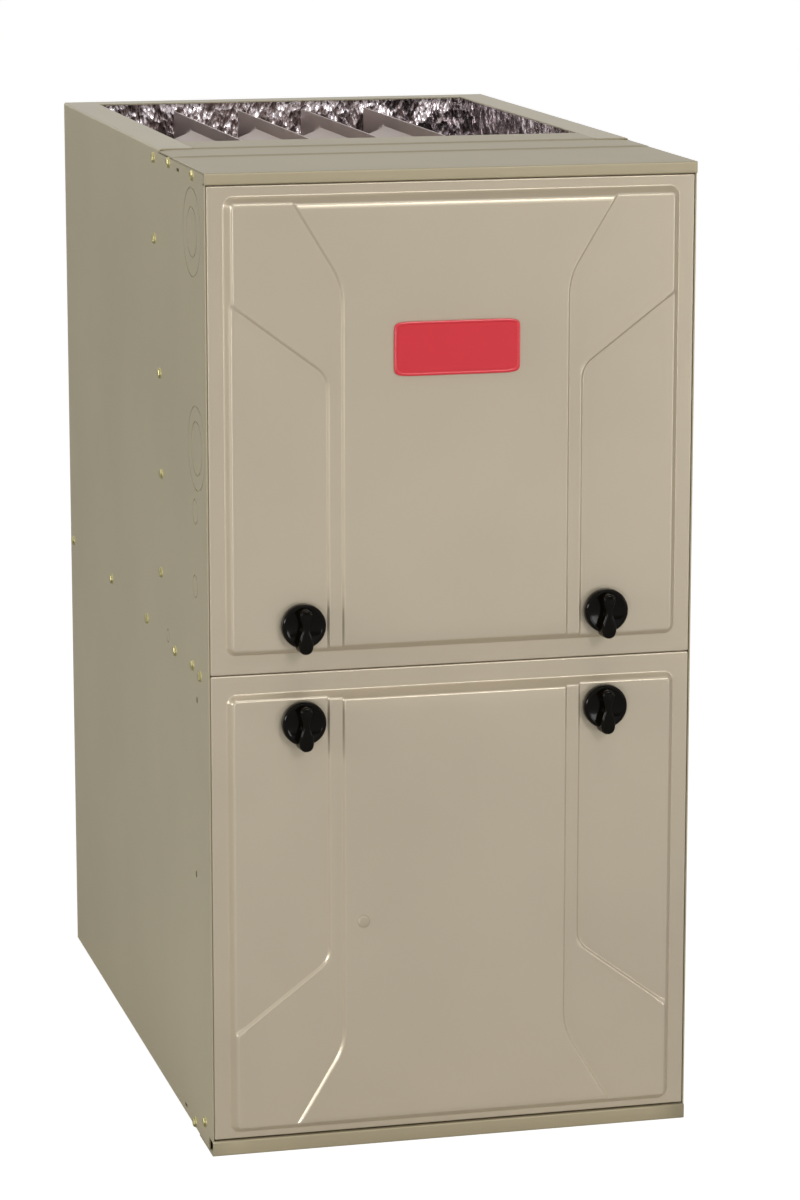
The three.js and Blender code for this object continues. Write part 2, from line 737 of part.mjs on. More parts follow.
// A plain plate with a rounded outline, lying on the middle field of the upper door.
function badgePlate() {
  const z = SEAM_HEIGHT + BADGE_ABOVE_SEAM;
  const outline = (inset) => filleted(
    rectangle(
      -BADGE_WIDTH / 2 + inset,
      BADGE_WIDTH / 2 - inset,
      z - BADGE_HEIGHT / 2 + inset,
      z + BADGE_HEIGHT / 2 - inset,
    ),
    7 - inset,
    5,
  );
  const back = -FIELD_RISE - SEAT;
  const front = back - BADGE_THICK;
  const plate = prism('y', outline(0), front, back);
  return plate.subtract(prism('y', outline(2.5), front - 1, front + 0.5));
}

addPart('badge_plate', badgePlate(), 'badgeRed');

// A clear plug: its flange lies on the field, its spigot goes through the door.
function sightGlass() {
  const face = -FIELD_RISE - SEAT;
  return turned(
    'y',
    [
      [0, face - 1.6],
      [SIGHT_GLASS_RADIUS - 1.4, face - 1.6],
      [SIGHT_GLASS_RADIUS + 0.6, face - 0.6],
      [SIGHT_GLASS_RADIUS + 0.6, face],
      [SIGHT_GLASS_RADIUS - 1 - SEAT, face],
      [SIGHT_GLASS_RADIUS - 1 - SEAT, face + 6],
      [0, face + 6],
    ],
    SIGHT_GLASS_X,
    sightGlassZ,
    20,
  );
}

addPart('sight_glass', sightGlass(), 'glass');

// ---------------------------------------------------------------- knobs and latch cams

const camFront = stileBack + RUNNING;
const knobBack = -WING_RISE - RUNNING / 2;

// A disc with a waisted upright grip, whose tail stands out past the rim, and a shaft.
function knob(x, z) {
  const rim = turned(
    'y',
    [
      [0, knobBack],
      [KNOB_RADIUS, knobBack],
      [KNOB_RADIUS, knobBack - KNOB_DISC + 1.5],
      [KNOB_RADIUS - 1.5, knobBack - KNOB_DISC],
      [0, knobBack - KNOB_DISC],
    ],
    x,
    z,
    28,
  );
  const half = KNOB_GRIP_WIDTH / 2;
  const tail = KNOB_RADIUS + KNOB_TAIL;
  const gripOutline = filleted(
    [
      [x - half, z + KNOB_RADIUS - 3],
      [x - half * 0.55, z],
      [x - half, z - KNOB_RADIUS + 4],
      [x - half, z - tail],
      [x + half, z - tail],
      [x + half, z - KNOB_RADIUS + 4],
      [x + half * 0.55, z],
      [x + half, z + KNOB_RADIUS - 3],
    ],
    5,
    2,
  );
  const gripFront = knobBack - KNOB_DISC - KNOB_GRIP;
  const gripBack = -BAND_RISE - RUNNING / 2; // the tail clears the band when it is turned over it
  const narrow = gripOutline.map(([px, pz]) => [x + (px - x) * 0.72, z + (pz - z) * 0.94]);
  const grip = loftY(narrow, gripFront, gripOutline, gripBack);
  const shaft = rod('y', x, z, knobBack - 1, camFront - SEAT, KNOB_SHAFT_RADIUS, 16);
  return joined([rim, grip, shaft]);
}

// A flat tongue with a hub, screwed to the shaft's end; it points outwards when released.
function latchCam(x, z) {
  const out = Math.sign(x);
  const hub = CAM_WIDTH / 2 + 2;
  const outline = filleted(
    [
      [x - out * hub, z - hub],
      [x + out * hub, z - hub],
      [x + out * (CAM_LENGTH - 4), z - CAM_WIDTH / 2],
      [x + out * CAM_LENGTH, z],
      [x + out * (CAM_LENGTH - 4), z + CAM_WIDTH / 2],
      [x + out * hub, z + hub],
      [x - out * hub, z + hub],
    ],
    4,
    2,
  );
  const tongue = prism('y', outline, camFront, camFront + CAM_THICK);
  const boss = rod('y', x, z, camFront + CAM_THICK / 2, camFront + CAM_THICK + 5, CAM_WIDTH / 2, 16);
  return tongue.add(boss);
}

for (const [row, z] of [['upper', upperKnobZ], ['lower', lowerKnobZ]]) {
  for (const [side, x] of [['left', -KNOB_X], ['right', KNOB_X]]) {
    addPart(`knob_${row}_${side}`, knob(x, z), 'knobPlastic');
    addPart(`latch_cam_${row}_${side}`, latchCam(x, z), 'galvanised');
  }
}

// ---------------------------------------------------------------- deck, rail and cell panel

const deckTop = SEAM_HEIGHT - DECK_DROP;
const deckBottom = deckTop - GAUGE;
const blowerZ = deckBottom - BLOWER_DROP;
const scrollOutlet = SCROLL_END * WHEEL_RADIUS;
const scrollCutOff = 40;

function blowerDeck() {
  const edge = wallInside - SEAT;
  const front = stileBack + SEAT;
  const back = CABINET_DEPTH - GAUGE - SEAT;
  const plan = [
    [-edge, front],
    [edge, front],
    [edge, back - BACK_BEND],
    [edge - BACK_BEND, back],
    [-edge + BACK_BEND, back],
    [-edge, back - BACK_BEND],
  ];
  const plate = prism('z', plan, deckBottom, deckTop);
  const sideFlanges = [-1, 1].map((side) => {
    const inner = side * (edge - GAUGE);
    const outer = side * edge;
    return box(
      Math.min(inner, outer),
      Math.max(inner, outer),
      RAIL_FOOT,
      back - BACK_BEND,
      deckBottom - DECK_FLANGE,
      deckTop,
    );
  });
  const mouth = box(
    -BLOWER_WIDTH / 2 + 4,
    BLOWER_WIDTH / 2 - 4,
    BLOWER_Y + scrollCutOff,
    BLOWER_Y + scrollOutlet - 4,
    deckBottom - 1,
    deckTop + 1,
  );
  return joined([plate, ...sideFlanges]).subtract(mouth);
}

addPart('blower_deck', blowerDeck(), 'galvanised');

// The rail behind the seam: a flange that the cams catch, and a foot on the deck.
function centreRail() {
  const edge = halfWidth - STILE_WIDTH - SEAT;
  const bottom = SEAM_HEIGHT - RAIL_HALF_HEIGHT;
  const ledge = deckTop + SEAT;
  const flange = box(-edge, edge, stileY, stileBack, bottom, bottom + 2 * RAIL_HALF_HEIGHT);
  const foot = box(-edge, edge, stileBack - GAUGE / 2, stileBack + RAIL_LEDGE, ledge, ledge + GAUGE);
  return flange.add(foot);
}

addPart('centre_rail', centreRail(), 'paint');

const cellX = (i) => CELL_OFFSET + (i - (CELL_COUNT - 1) / 2) * CELL_PITCH;
const coilBottom = deckTop + COIL_ABOVE_DECK;
const coilTop = coilBottom + COIL_HEIGHT;
const cellTop = CABINET_HEIGHT - CELL_TOP_DROP;
const cellBottom = coilTop + CELL_ABOVE_COIL;
const passParts = CELL_PASS_PARTS.reduce((sum, part) => sum + part, 0);
const passRoom = cellTop - cellBottom - 2 * CELL_FLANGE - (CELL_PASS_PARTS.length - 1) * CELL_PASS_GAP;
const cellPasses = CELL_PASS_PARTS.map((part) => (passRoom * part) / passParts);
const burnerZ = cellTop - CELL_FLANGE - cellPasses[0] / 2;
const inducerZ = deckTop + (burnerZ - deckTop) * INDUCER_SHARE;
const panelTop = wallFrontTop - SEAT;
const panelBottom = deckTop + SEAT;

function cellPanel() {
  const edge = wallInside - SEAT;
  const plate = box(-edge, edge, CELL_PANEL_Y, CELL_PANEL_Y + GAUGE, panelBottom, panelTop);
  const lip = CELL_PANEL_Y - CELL_PANEL_LIP;
  const foot = box(-edge, edge, lip, CELL_PANEL_Y + GAUGE / 2, panelBottom, panelBottom + GAUGE);
  const head = box(-edge, edge, lip, CELL_PANEL_Y + GAUGE / 2, panelTop - GAUGE, panelTop);
  let panel = joined([plate, foot, head]);
  for (let i = 0; i < CELL_COUNT; i += 1) {
    const inlet = rod('y', cellX(i), burnerZ, CELL_PANEL_Y - 1, CELL_PANEL_Y + 3, BURNER_RADIUS + 3, 16);
    panel = panel.subtract(inlet);
  }
  const coilWindow = box(
    -COIL_WIDTH / 2 + 12,
    COIL_WIDTH / 2 - 12,
    CELL_PANEL_Y - 1,
    CELL_PANEL_Y + 3,
    coilBottom + 12,
    coilTop - 12,
  );
  return panel.subtract(coilWindow);
}

addPart('cell_panel', cellPanel(), 'galvanised');

// ---------------------------------------------------------------- foil-faced liners

const linerFront = CELL_PANEL_Y + GAUGE + SEAT;
const linerBottom = deckTop + SEAT;
const linerTop = CABINET_HEIGHT - GAUGE - SEAT;
const linerOuter = wallInside - SEAT;
const linerBack = CABINET_DEPTH - GAUGE - SEAT;

for (const [side, sign] of [['left', -1], ['right', 1]]) {
  const outer = sign * linerOuter;
  const inner = sign * (linerOuter - LINER_THICK);
  const bend = BACK_BEND;
  const plan = [
    [outer, linerFront],
    [outer, linerBack - bend],
    [outer - sign * bend, linerBack],
    [inner, linerBack],
    [inner, linerFront],
  ];
  const slab = prism('z', plan, linerBottom, linerTop);
  const capRelief = box(
    -halfWidth,
    halfWidth,
    linerFront - 1,
    OPENING_FRONT + SEAT,
    CABINET_HEIGHT - CAP_REAR_FLANGE - SEAT,
    CABINET_HEIGHT,
  );
  addPart(`foil_liner_${side}`, slab.subtract(capRelief), 'foil');
}

addPart(
  'foil_liner_back',
  box(
    -linerOuter + LINER_THICK + SEAT,
    linerOuter - LINER_THICK - SEAT,
    linerBack - LINER_THICK,
    linerBack,
    linerBottom,
    linerTop,
  ),
  'foil',
);

// ---------------------------------------------------------------- heat exchanger

const cellFront = linerFront;
const couplingBack = linerBack - LINER_THICK - COUPLING_TO_LINER;
const couplingFront = couplingBack - COUPLING_DEPTH;
const cellBack = couplingFront - SEAT;

// The gas path of one cell as a flat outline: passes run front to back and back again,
// joined by half-round turns at alternate ends, each pass lower than the one before. Its
// inlet and outlet may overrun the ends of the cell.
function gasPathOutline(overrun) {
  const front = cellFront - overrun;
  const outlet = cellBack + overrun;
  const back = cellBack - CELL_FLANGE;
  const levels = [];
  let z = cellTop - CELL_FLANGE;
  cellPasses.forEach((height) => {
    levels.push([z, z - height]);
    z -= height + CELL_PASS_GAP;
  });
  const left = cellFront + CELL_FLANGE;
  const turn = (y, z0, z1, side) => {
    const radius = Math.abs(z0 - z1) / 2;
    const steps = 6;
    const arc = [];
    for (let k = 0; k <= steps; k += 1) {
      const angle = Math.PI / 2 - (k / steps) * Math.PI;
      const rise = Math.sign(z0 - z1) * radius * Math.sin(angle);
      arc.push([y + side * radius * Math.cos(angle), (z0 + z1) / 2 + rise]);
    }
    return arc;
  };
  const [top, middle, low] = levels;
  const outerTurnRight = (top[0] - middle[1]) / 2;
  const outerTurnLeft = (middle[0] - low[1]) / 2;
  return [
    [front, top[0]],
    ...turn(back - outerTurnRight, top[0], middle[1], 1),
    ...turn(left + outerTurnLeft, middle[1], low[0], -1),
    [outlet, low[0]],
    [outlet, low[1]],
    ...turn(left + outerTurnLeft, low[1], middle[0], -1),
    ...turn(back - outerTurnRight, middle[0], top[1], 1),
    [front, top[1]],
  ];
}

// The pressed gas path as a solid with chamfered edges, all its faces moved in by `inset`.
function cellPath(x, inset, overrun) {
  const half = CELL_THICK / 2 - inset;
  const geometry = new THREE.ExtrudeGeometry(shapeOf(offset(gasPathOutline(overrun), -CELL_BEVEL - inset)), {
    depth: 2 * (half - CELL_BEVEL),
    bevelEnabled: true,
    bevelThickness: CELL_BEVEL,
    bevelSize: CELL_BEVEL,
    bevelSegments: 1,
  });
  geometry.translate(0, 0, x - half + CELL_BEVEL);
  geometry.applyMatrix4(new THREE.Matrix4().makeBasis(
    new THREE.Vector3(0, 1, 0),
    new THREE.Vector3(0, 0, 1),
    new THREE.Vector3(1, 0, 0),
  ));
  return solidOf(geometry);
}

// One clamshell cell: two pressed halves welded along a flat seam, open at inlet and outlet.
function heatExchangerCell(x) {
  const seam = prism(
    'x',
    filleted(rectangle(cellFront, cellBack, cellBottom, cellTop), 14, 3),
    x - CELL_WEB / 2,
    x + CELL_WEB / 2,
  );
  return cellPath(x, 0, 0).add(seam).subtract(cellPath(x, CELL_WALL, CELL_FLANGE * 2));
}

for (let i = 0; i < CELL_COUNT; i += 1) {
  addPart(`hx_cell_${i + 1}`, heatExchangerCell(cellX(i)), 'cellSteel');
}

const couplingTop = cellBottom + CELL_FLANGE + cellPasses[2] + COUPLING_SLOPE / 2;

// The box behind the cells, open towards them, that leads the gas down into the coil.
function couplingBox() {
  const section = (inset, front) => [
    [front, coilBottom + inset],
    [couplingBack - inset, coilBottom + inset],
    [couplingBack - inset, couplingTop - COUPLING_SLOPE],
    [couplingBack - COUPLING_SLOPE, couplingTop - inset],
    [front, couplingTop - inset],
  ];
  const wall = CELL_WALL + GAUGE;
  const half = COIL_WIDTH / 2;
  const shell = prism('x', section(0, couplingFront), -half, half);
  return shell.subtract(prism('x', section(wall, couplingFront - 1), -half + wall, half - wall));
}

addPart('coupling_box', couplingBox(), 'cellSteel');

// A fin pack on rows of tubes between two tube sheets; the fins stand across the air stream.
function secondaryCoil() {
  const front = linerFront;
  const back = cellBack;
  const half = COIL_WIDTH / 2;
  const sheets = [
    box(-half, half, front, front + COIL_SHEET, coilBottom, coilTop),
    box(-half, half, back - COIL_SHEET, back, coilBottom, coilTop),
  ];
  const core = (coilTop + coilBottom) / 2;
  const start = front + COIL_SHEET / 2;
  const pitch = (back - front - COIL_SHEET) / COIL_FINS;
  const crest = COIL_HEIGHT / 2 - COIL_FIN_INSET;
  const root = crest - COIL_FIN_REACH;
  const upper = [[start, root]];
  for (let k = 0; k < COIL_FINS; k += 1) {
    const rise = start + pitch * (k + (1 - COIL_FIN_SHARE) / 2);
    const fall = rise + pitch * COIL_FIN_SHARE;
    upper.push([rise, root], [rise, crest], [fall, crest], [fall, root]);
  }
  upper.push([back - COIL_SHEET / 2, root]);
  const comb = [
    ...upper.map(([y, rise]) => [y, core + rise]),
    ...upper.map(([y, rise]) => [y, core - rise]).reverse(),
  ];
  const pack = prism('x', comb, -half + COIL_FIN_INSET, half - COIL_FIN_INSET);
  const tubeEnds = [];
  for (let row = 0; row < COIL_TUBE_ROWS; row += 1) {
    for (let k = 0; k < COIL_TUBES; k += 1) {
      const x = (k - (COIL_TUBES - 1) / 2 + (row % 2 === 0 ? 0.25 : -0.25)) * COIL_TUBE_PITCH;
      const z = coilBottom + (COIL_HEIGHT / COIL_TUBE_ROWS) * (row + 0.5);
      tubeEnds.push(rod('y', x, z, front - COIL_TUBE_PROUD, front + COIL_SHEET / 2, COIL_TUBE_RADIUS, 8));
    }
  }
  return joined([...sheets, pack, ...tubeEnds]);
}

addPart('secondary_coil', secondaryCoil(), 'aluminium');

const collectorBack = CELL_PANEL_Y - SEAT;
const collectorFront = collectorBack - COLLECTOR_DEPTH;
const trapX = -COIL_WIDTH / 2 + COLLECTOR_NECK - 6;

// A moulded box over the coil's front ends, with a port to the inducer and a drain spout.
function collectorBox() {
  const half = COIL_WIDTH / 2 - COLLECTOR_WALL;
  const foot = panelBottom + GAUGE + SEAT;
  const head = inducerZ - COLLECTOR_NECK;
  const shell = prism('y', filleted(rectangle(-half, half, foot, head), 10, 4), collectorFront, collectorBack);
  const neck = prism(
    'y',
    filleted(
      rectangle(INDUCER_X - COLLECTOR_NECK, INDUCER_X + COLLECTOR_NECK, head - 20, inducerZ + COLLECTOR_NECK),
      16,
      4,
    ),
    collectorFront,
    collectorBack,
  );
  const inner = half - COLLECTOR_WALL;
  const pocket = prism(
    'y',
    filleted(rectangle(-inner, inner, foot + COLLECTOR_WALL, head - COLLECTOR_WALL - 2), 8, 4),
    collectorFront + COLLECTOR_WALL - 1,
    collectorBack + 1,
  );
  const port = rod('y', INDUCER_X, inducerZ, collectorFront - 1, collectorBack + 1, SUCTION_RADIUS, 20);
  const spout = rod('y', trapX, foot + 16, collectorFront - 14, collectorFront + 1, DRAIN_RADIUS, 12);
  return shell.add(neck).subtract(pocket).subtract(port).add(spout);
}

addPart('collector_box', collectorBox(), 'blackPlastic');

// ---------------------------------------------------------------- burners and gas train

const burnerBack = CELL_PANEL_Y - SEAT;
const burnerFront = burnerBack - BURNER_LENGTH;
const rackTop = cellTop - RACK_TOP_DROP;
const rackBottom = burnerZ - RACK_BELOW;
const rackHalf = (CELL_COUNT / 2) * CELL_PITCH + RACK_END;
const rackPlateY = burnerBack - RACK_STAND;

// An in-shot burner: a bell mouth, a venturi throat and a flame tube, open from end to end.
function burner(x) {
  const wall = 1.4;
  const outer = [
    [BURNER_RADIUS + 3, burnerFront],
    [BURNER_RADIUS - 4, burnerFront + 16],
    [BURNER_RADIUS - 4, burnerFront + 30],
    [BURNER_RADIUS, burnerFront + 48],
    [BURNER_RADIUS, burnerBack],
  ];
  const inner = outer.map(([r, y]) => [r - wall, y]).reverse();
  const profile = [...outer, ...inner, outer[0]];
  return turned('y', profile, x, burnerZ, 12);
}

for (let i = 0; i < CELL_COUNT; i += 1) {
  addPart(`burner_${i + 1}`, burner(cellX(i)), 'aluminium');
}

// A plate across the flame tubes with side flanges that reach back to the cell panel.
function burnerRack() {
  const x0 = CELL_OFFSET - rackHalf;
  const x1 = CELL_OFFSET + rackHalf;
  const plan = [
    [x0 - RACK_FLANGE, burnerBack],
    [x0, burnerBack],
    [x0, rackPlateY],
    [x1, rackPlateY],
    [x1, burnerBack],
    [x1 + RACK_FLANGE, burnerBack],
  ];
  let rack = prism('z', bentSheet(plan, -GAUGE), rackBottom, rackTop);
  for (let i = 0; i < CELL_COUNT; i += 1) {
    rack = rack.subtract(rod('y', cellX(i), burnerZ, rackPlateY - 3, rackPlateY + 3, BURNER_RADIUS + SEAT, 12));
  }
  return rack;
}

addPart('burner_rack', burnerRack(), 'galvanised');

const valveLeft = CELL_OFFSET + rackHalf + VALVE_FROM_RACK;
const valveRight = valveLeft + VALVE_WIDTH;
const valveBottom = burnerZ - 30;
const valveTop = burnerZ + 26;

// A pipe across the burners with one orifice for each bell mouth.
function gasManifold() {
  const start = CELL_OFFSET - rackHalf - 4;
  const run = rod('x', MANIFOLD_Y, burnerZ, start, valveLeft - SEAT, MANIFOLD_RADIUS, 16);
  const cap = rod('x', MANIFOLD_Y, burnerZ, start - 4, start + 12, MANIFOLD_RADIUS + 3, 8);
  const orifices = [];
  for (let i = 0; i < CELL_COUNT; i += 1) {
    orifices.push(rod('y', cellX(i), burnerZ, MANIFOLD_Y + MANIFOLD_RADIUS - 2, burnerFront - 8, 6, 6));
    orifices.push(rod('y', cellX(i), burnerZ, burnerFront - 9, burnerFront + 4, 3.5, 10));
  }
  const brackets = [-1, 1].map((side) => {
    const x = CELL_OFFSET + side * (rackHalf - 8);
    return box(
      x - 7,
      x + 7,
      MANIFOLD_Y,
      rackPlateY - GAUGE - SEAT,
      burnerZ - MANIFOLD_RADIUS - 1.5,
      burnerZ - MANIFOLD_RADIUS + 1,
    );
  });
  return joined([run, cap, ...orifices, ...brackets]);
}

addPart('gas_manifold', gasManifold(), 'blackPipe');

const leverX = valveLeft + 22;
const leverY = MANIFOLD_Y - VALVE_HALF_DEPTH - 3;
const leverZ = valveTop - 10;

// A cast valve body with a regulator tower, an operator and an inlet boss.
function gasValve() {
  const y0 = MANIFOLD_Y - VALVE_HALF_DEPTH;
  const y1 = MANIFOLD_Y + VALVE_HALF_DEPTH;
  const body = prism('x', filleted(rectangle(y0, y1, valveBottom, valveTop - 16), 7, 3), valveLeft, valveRight);
  const operatorOutline = filleted(rectangle(y0 + 3, y1 - 6, valveTop - 20, valveTop + 14), 5, 3);
  const operator = prism('x', operatorOutline, valveLeft + 6, valveRight - 4);
  const regulatorX = valveRight - REGULATOR_INSET;
  const regulator = rod('z', regulatorX, MANIFOLD_Y + 8, valveTop, valveTop + REGULATOR_HEIGHT, 9, 16);
  const inletEnd = valveRight + VALVE_INLET_LENGTH;
  const inlet = rod('x', MANIFOLD_Y, burnerZ, valveRight - 2, inletEnd, VALVE_INLET_RADIUS, 6);
  const tapZ = valveBottom + VALVE_TAP_RISE;
  const pressureTap = rod('y', valveRight - VALVE_TAP_INSET, tapZ, y0 - 5, y0 + 2, 5, 6);
  const foot = box(valveLeft + 8, valveRight - 8, y1 - 4, burnerBack, valveBottom, valveBottom + 3);
  const seat = rod('y', leverX, leverZ, leverY, y0 + 6, 8, 16);
  return joined([body, operator, regulator, inlet, pressureTap, foot, seat]);
}

addPart('gas_valve', gasValve(), 'castGrey');

// The valve's on/off lever: a hub with a paddle that turns about Y.
function valveLever() {
  const back = leverY - SEAT;
  const hub = rod('y', leverX, leverZ, back - 6, back, 7, 16);
  const tip = leverZ - LEVER_LENGTH;
  const outline = [[leverX - 5, leverZ], [leverX - 3, tip], [leverX + 3, tip], [leverX + 5, leverZ]];
  const paddle = prism('y', filleted(outline, 2, 2), back - 5, back - 1);
  return hub.add(paddle);
}

addPart('valve_lever', valveLever(), 'leverWhite');

// A ceramic hot-surface element on a bracket that is screwed to the rack.
function igniter() {
  const x = cellX(0) - 20;
  const z = rackBottom + 8;
  const plateFront = rackPlateY - GAUGE - SEAT;
  const plate = box(x - 12, x + 12, plateFront - BRACKET_THICK, plateFront, z - 10, z + 12);
  const block = prism(
    'y',
    filleted(rectangle(x - 8, x + 8, z - 7, z + 7), 3, 2),
    plateFront - IGNITER_LENGTH,
    plateFront - 1,
  );
  return plate.add(block);
}

addPart('igniter', igniter(), 'ceramic');

// A flame rod: a ceramic sleeve on a small bracket with a wire that bends down to the flame.
function flameSensor() {
  const x = cellX(CELL_COUNT - 1) + 20;
  const z = rackTop - 14;
  const plateFront = rackPlateY - GAUGE - SEAT;
  const plate = box(x - 8, x + 8, plateFront - BRACKET_THICK, plateFront, z - 10, z + 10);
  const sleeve = rod('y', x, z, plateFront - FLAME_ROD_LENGTH + 8, plateFront - 1, 5, 12);
  const pin = rod('y', x, z, plateFront - FLAME_ROD_LENGTH, plateFront - FLAME_ROD_LENGTH + 10, 2, 8);
  return joined([plate, sleeve, pin]);
}

addPart('flame_sensor', flameSensor(), 'ceramic');

const resetX = CELL_OFFSET;
const resetZ = rackTop - 12;
const switchFront = rackPlateY - GAUGE - SEAT;
const switchCap = 9;

// A snap-disc thermostat with two blades; the reset button comes out of its middle.
function rolloutSwitch() {
  const plate = box(resetX - 17, resetX + 17, switchFront - 1.2, switchFront, resetZ - 6, resetZ + 6);
  const can = rod('y', resetX, resetZ, switchFront - switchCap, switchFront - 0.6, SWITCH_CAN_RADIUS, 20);
  const bore = rod('y', resetX, resetZ, switchFront - switchCap - 1, switchFront - 2.5, 2.6, 12);
  const blades = [-1, 1].map((side) => box(
    resetX + side * 5.8 - 0.9,
    resetX + side * 5.8 + 0.9,
    switchFront - switchCap - 7,
    switchFront - switchCap + 1,
    resetZ - 2.4,
    resetZ + 2.4,
  ));
  return joined([plate, can, ...blades]).subtract(bore);
}

addPart('rollout_switch', rolloutSwitch(), 'blackPlastic');
addPart(
  'reset_button',
  rod('y', resetX, resetZ, switchFront - switchCap - 2.5, switchFront - 5.5, 2.2, 12),
  'resetRed',
);

// ---------------------------------------------------------------- draft inducer

const inducerBack = collectorFront - SEAT;
const inducerFront = inducerBack - INDUCER_DEPTH;
const inducerWall = 3;

// Points of a scroll that widens steadily round a centre, then runs straight to its mouth.
function scrollOutline(cu, cv, first, last, startAngle, endAngle, steps) {
  const points = [];
  for (let k = 0; k <= steps; k += 1) {
    const share = k / steps;
    const angle = startAngle + (endAngle - startAngle) * share;
    const radius = first + (last - first) * share;
    points.push([cu + radius * Math.cos(angle), cv + radius * Math.sin(angle)]);
  }
  return points;
}

const inducerFirst = INDUCER_WHEEL_RADIUS * 1.12;
const inducerLast = INDUCER_WHEEL_RADIUS * 1.62;
const inducerStart = THREE.MathUtils.degToRad(62);
const inducerMouth = inducerZ + INDUCER_WHEEL_RADIUS + 36;
const ventX = INDUCER_X + inducerLast - VENT_RADIUS - 1;
const ventY = (inducerBack + inducerFront) / 2;

function inducerHousing() {
  const outline = [
    ...scrollOutline(INDUCER_X, inducerZ, inducerFirst, inducerLast, inducerStart, 2 * Math.PI, 20),
    [INDUCER_X + inducerLast, inducerMouth],
    [INDUCER_X + inducerFirst * Math.cos(inducerStart) - 1, inducerMouth],
  ];
  const shell = prism('y', offset(outline, -inducerWall), inducerFront, inducerBack);
  const room = prism('y', outline, inducerFront + inducerWall, inducerBack - inducerWall);
  const inletFront = inducerBack - inducerWall - 1;
  const inlet = rod('y', INDUCER_X, inducerZ, inletFront, inducerBack + 1, SUCTION_RADIUS, 24);
  const shaftHole = rod('y', INDUCER_X, inducerZ, inducerFront - 1, inducerFront + inducerWall + 1, 6, 12);
  const collar = rod('z', ventX, ventY, inducerMouth - 2, inducerMouth + 10, VENT_RADIUS - 6, 16);
  const bore = rod('z', ventX, ventY, inducerMouth - inducerWall - 6, inducerMouth + 11, VENT_RADIUS - 9, 16);
  const feet = [[-66, -58], [66, -58], [-58, 52]].map(([dx, dz]) => rod(
    'y',
    INDUCER_X + dx * 0.86,
    inducerZ + dz,
    inducerBack - 12,
    inducerBack,
    8,
    10,
  ));
  return joined([shell, collar, ...feet]).subtract(room).subtract(inlet).subtract(shaftHole).subtract(bore);
}

addPart('inducer_housing', inducerHousing(), 'blackPlastic');

const inducerWheelFront = inducerFront + inducerWall + 5;
const inducerWheelBack = inducerBack - inducerWall - 4;
const inducerMotorBack = inducerFront - 8;
const inducerShaftFront = inducerMotorBack + SEAT;

// A back plate with straight radial blades on a hub, and the shaft it is fixed to.
function inducerWheel() {
  const front = inducerWheelFront;
  const plate = rod('y', INDUCER_X, inducerZ, front, front + 2, INDUCER_WHEEL_RADIUS, 32);
  const hub = rod('y', INDUCER_X, inducerZ, inducerWheelFront, inducerWheelBack - 10, 9, 12);
  const shaft = rod('y', INDUCER_X, inducerZ, inducerShaftFront, inducerWheelFront + 3, 4, 10);
  const blades = [];
  const bladeCount = 12;
  for (let k = 0; k < bladeCount; k += 1) {
    const blade = new THREE.BoxGeometry(INDUCER_WHEEL_RADIUS - 20, inducerWheelBack - front - 1, 1.6);
    blade.translate(INDUCER_WHEEL_RADIUS / 2 + 9, (inducerWheelBack + front + 1) / 2, 0);
    blade.rotateY((k / bladeCount) * Math.PI * 2);
    blade.translate(INDUCER_X, 0, inducerZ);
    blades.push(solidOf(blade));
  }
  return joined([plate, hub, shaft, ...blades]);
}

addPart('inducer_wheel', inducerWheel(), 'aluminium');

// A shaded-pole motor with cooling slots, standing off the housing on three posts.
function inducerMotor() {
  const front = inducerMotorBack - INDUCER_MOTOR_LENGTH;
  const can = turned(
    'y',
    [
      [0, front],
      [INDUCER_MOTOR_RADIUS - 14, front],
      [INDUCER_MOTOR_RADIUS - 4, front + 5],
      [INDUCER_MOTOR_RADIUS, front + 12],
      [INDUCER_MOTOR_RADIUS, inducerMotorBack - 4],
      [INDUCER_MOTOR_RADIUS - 4, inducerMotorBack],
      [0, inducerMotorBack],
    ],
    INDUCER_X,
    inducerZ,
    32,
  );
  const slots = [];
  const slotCount = 12;
  for (let k = 0; k < slotCount; k += 1) {
    const slot = new THREE.BoxGeometry(8, 26, 4);
    slot.translate(INDUCER_MOTOR_RADIUS, front + 32, 0);
    slot.rotateY(((k + 0.5) / slotCount) * Math.PI * 2);
    slot.translate(INDUCER_X, 0, inducerZ);
    slots.push(solidOf(slot));
  }
  const posts = [90, 210, 330].map((degrees) => {
    const angle = THREE.MathUtils.degToRad(degrees);
    const reach = INDUCER_MOTOR_RADIUS - 8;
    return rod(
      'y',
      INDUCER_X + reach * Math.cos(angle),
      inducerZ + reach * Math.sin(angle),
      inducerMotorBack - 1,
      inducerFront - SEAT,
      4,
      8,
    );
  });
  return can.subtract(joined(slots)).add(joined(posts));
}

addPart('inducer_motor', inducerMotor(), 'motorBlack');

// The vent elbow: it slips over the inducer's collar and turns towards the right side.
function ventElbow() {
  const base = inducerMouth + inducerWall + SEAT;
  const rise = base + 12;
  const end = wallInside - LINER_THICK / 2;
  const bendRadius = VENT_RADIUS + 6;
  const arc = [];
  for (let k = 0; k <= 5; k += 1) {
    const angle = (k / 5) * (Math.PI / 2);
    arc.push([
      ventX + bendRadius - bendRadius * Math.cos(angle),
      ventY,
      rise + bendRadius * Math.sin(angle),
    ]);
  }
  const route = [[ventX, ventY, base], ...arc, [end, ventY, rise + bendRadius]];
  const outer = tubeAlong(route, VENT_RADIUS, 16);
  const inner = tubeAlong(
    [[ventX, ventY, base - 2], ...arc, [end + 2, ventY, rise + bendRadius]],
    VENT_RADIUS - 3,
    16,
  );
  const socket = rod('x', ventY, rise + bendRadius, end - 22, end, VENT_RADIUS + 3.5, 16);
  return outer.add(socket).subtract(inner);
}

addPart('vent_elbow', ventElbow(), 'galvanised');

// ---------------------------------------------------------------- switch, trap and junction box

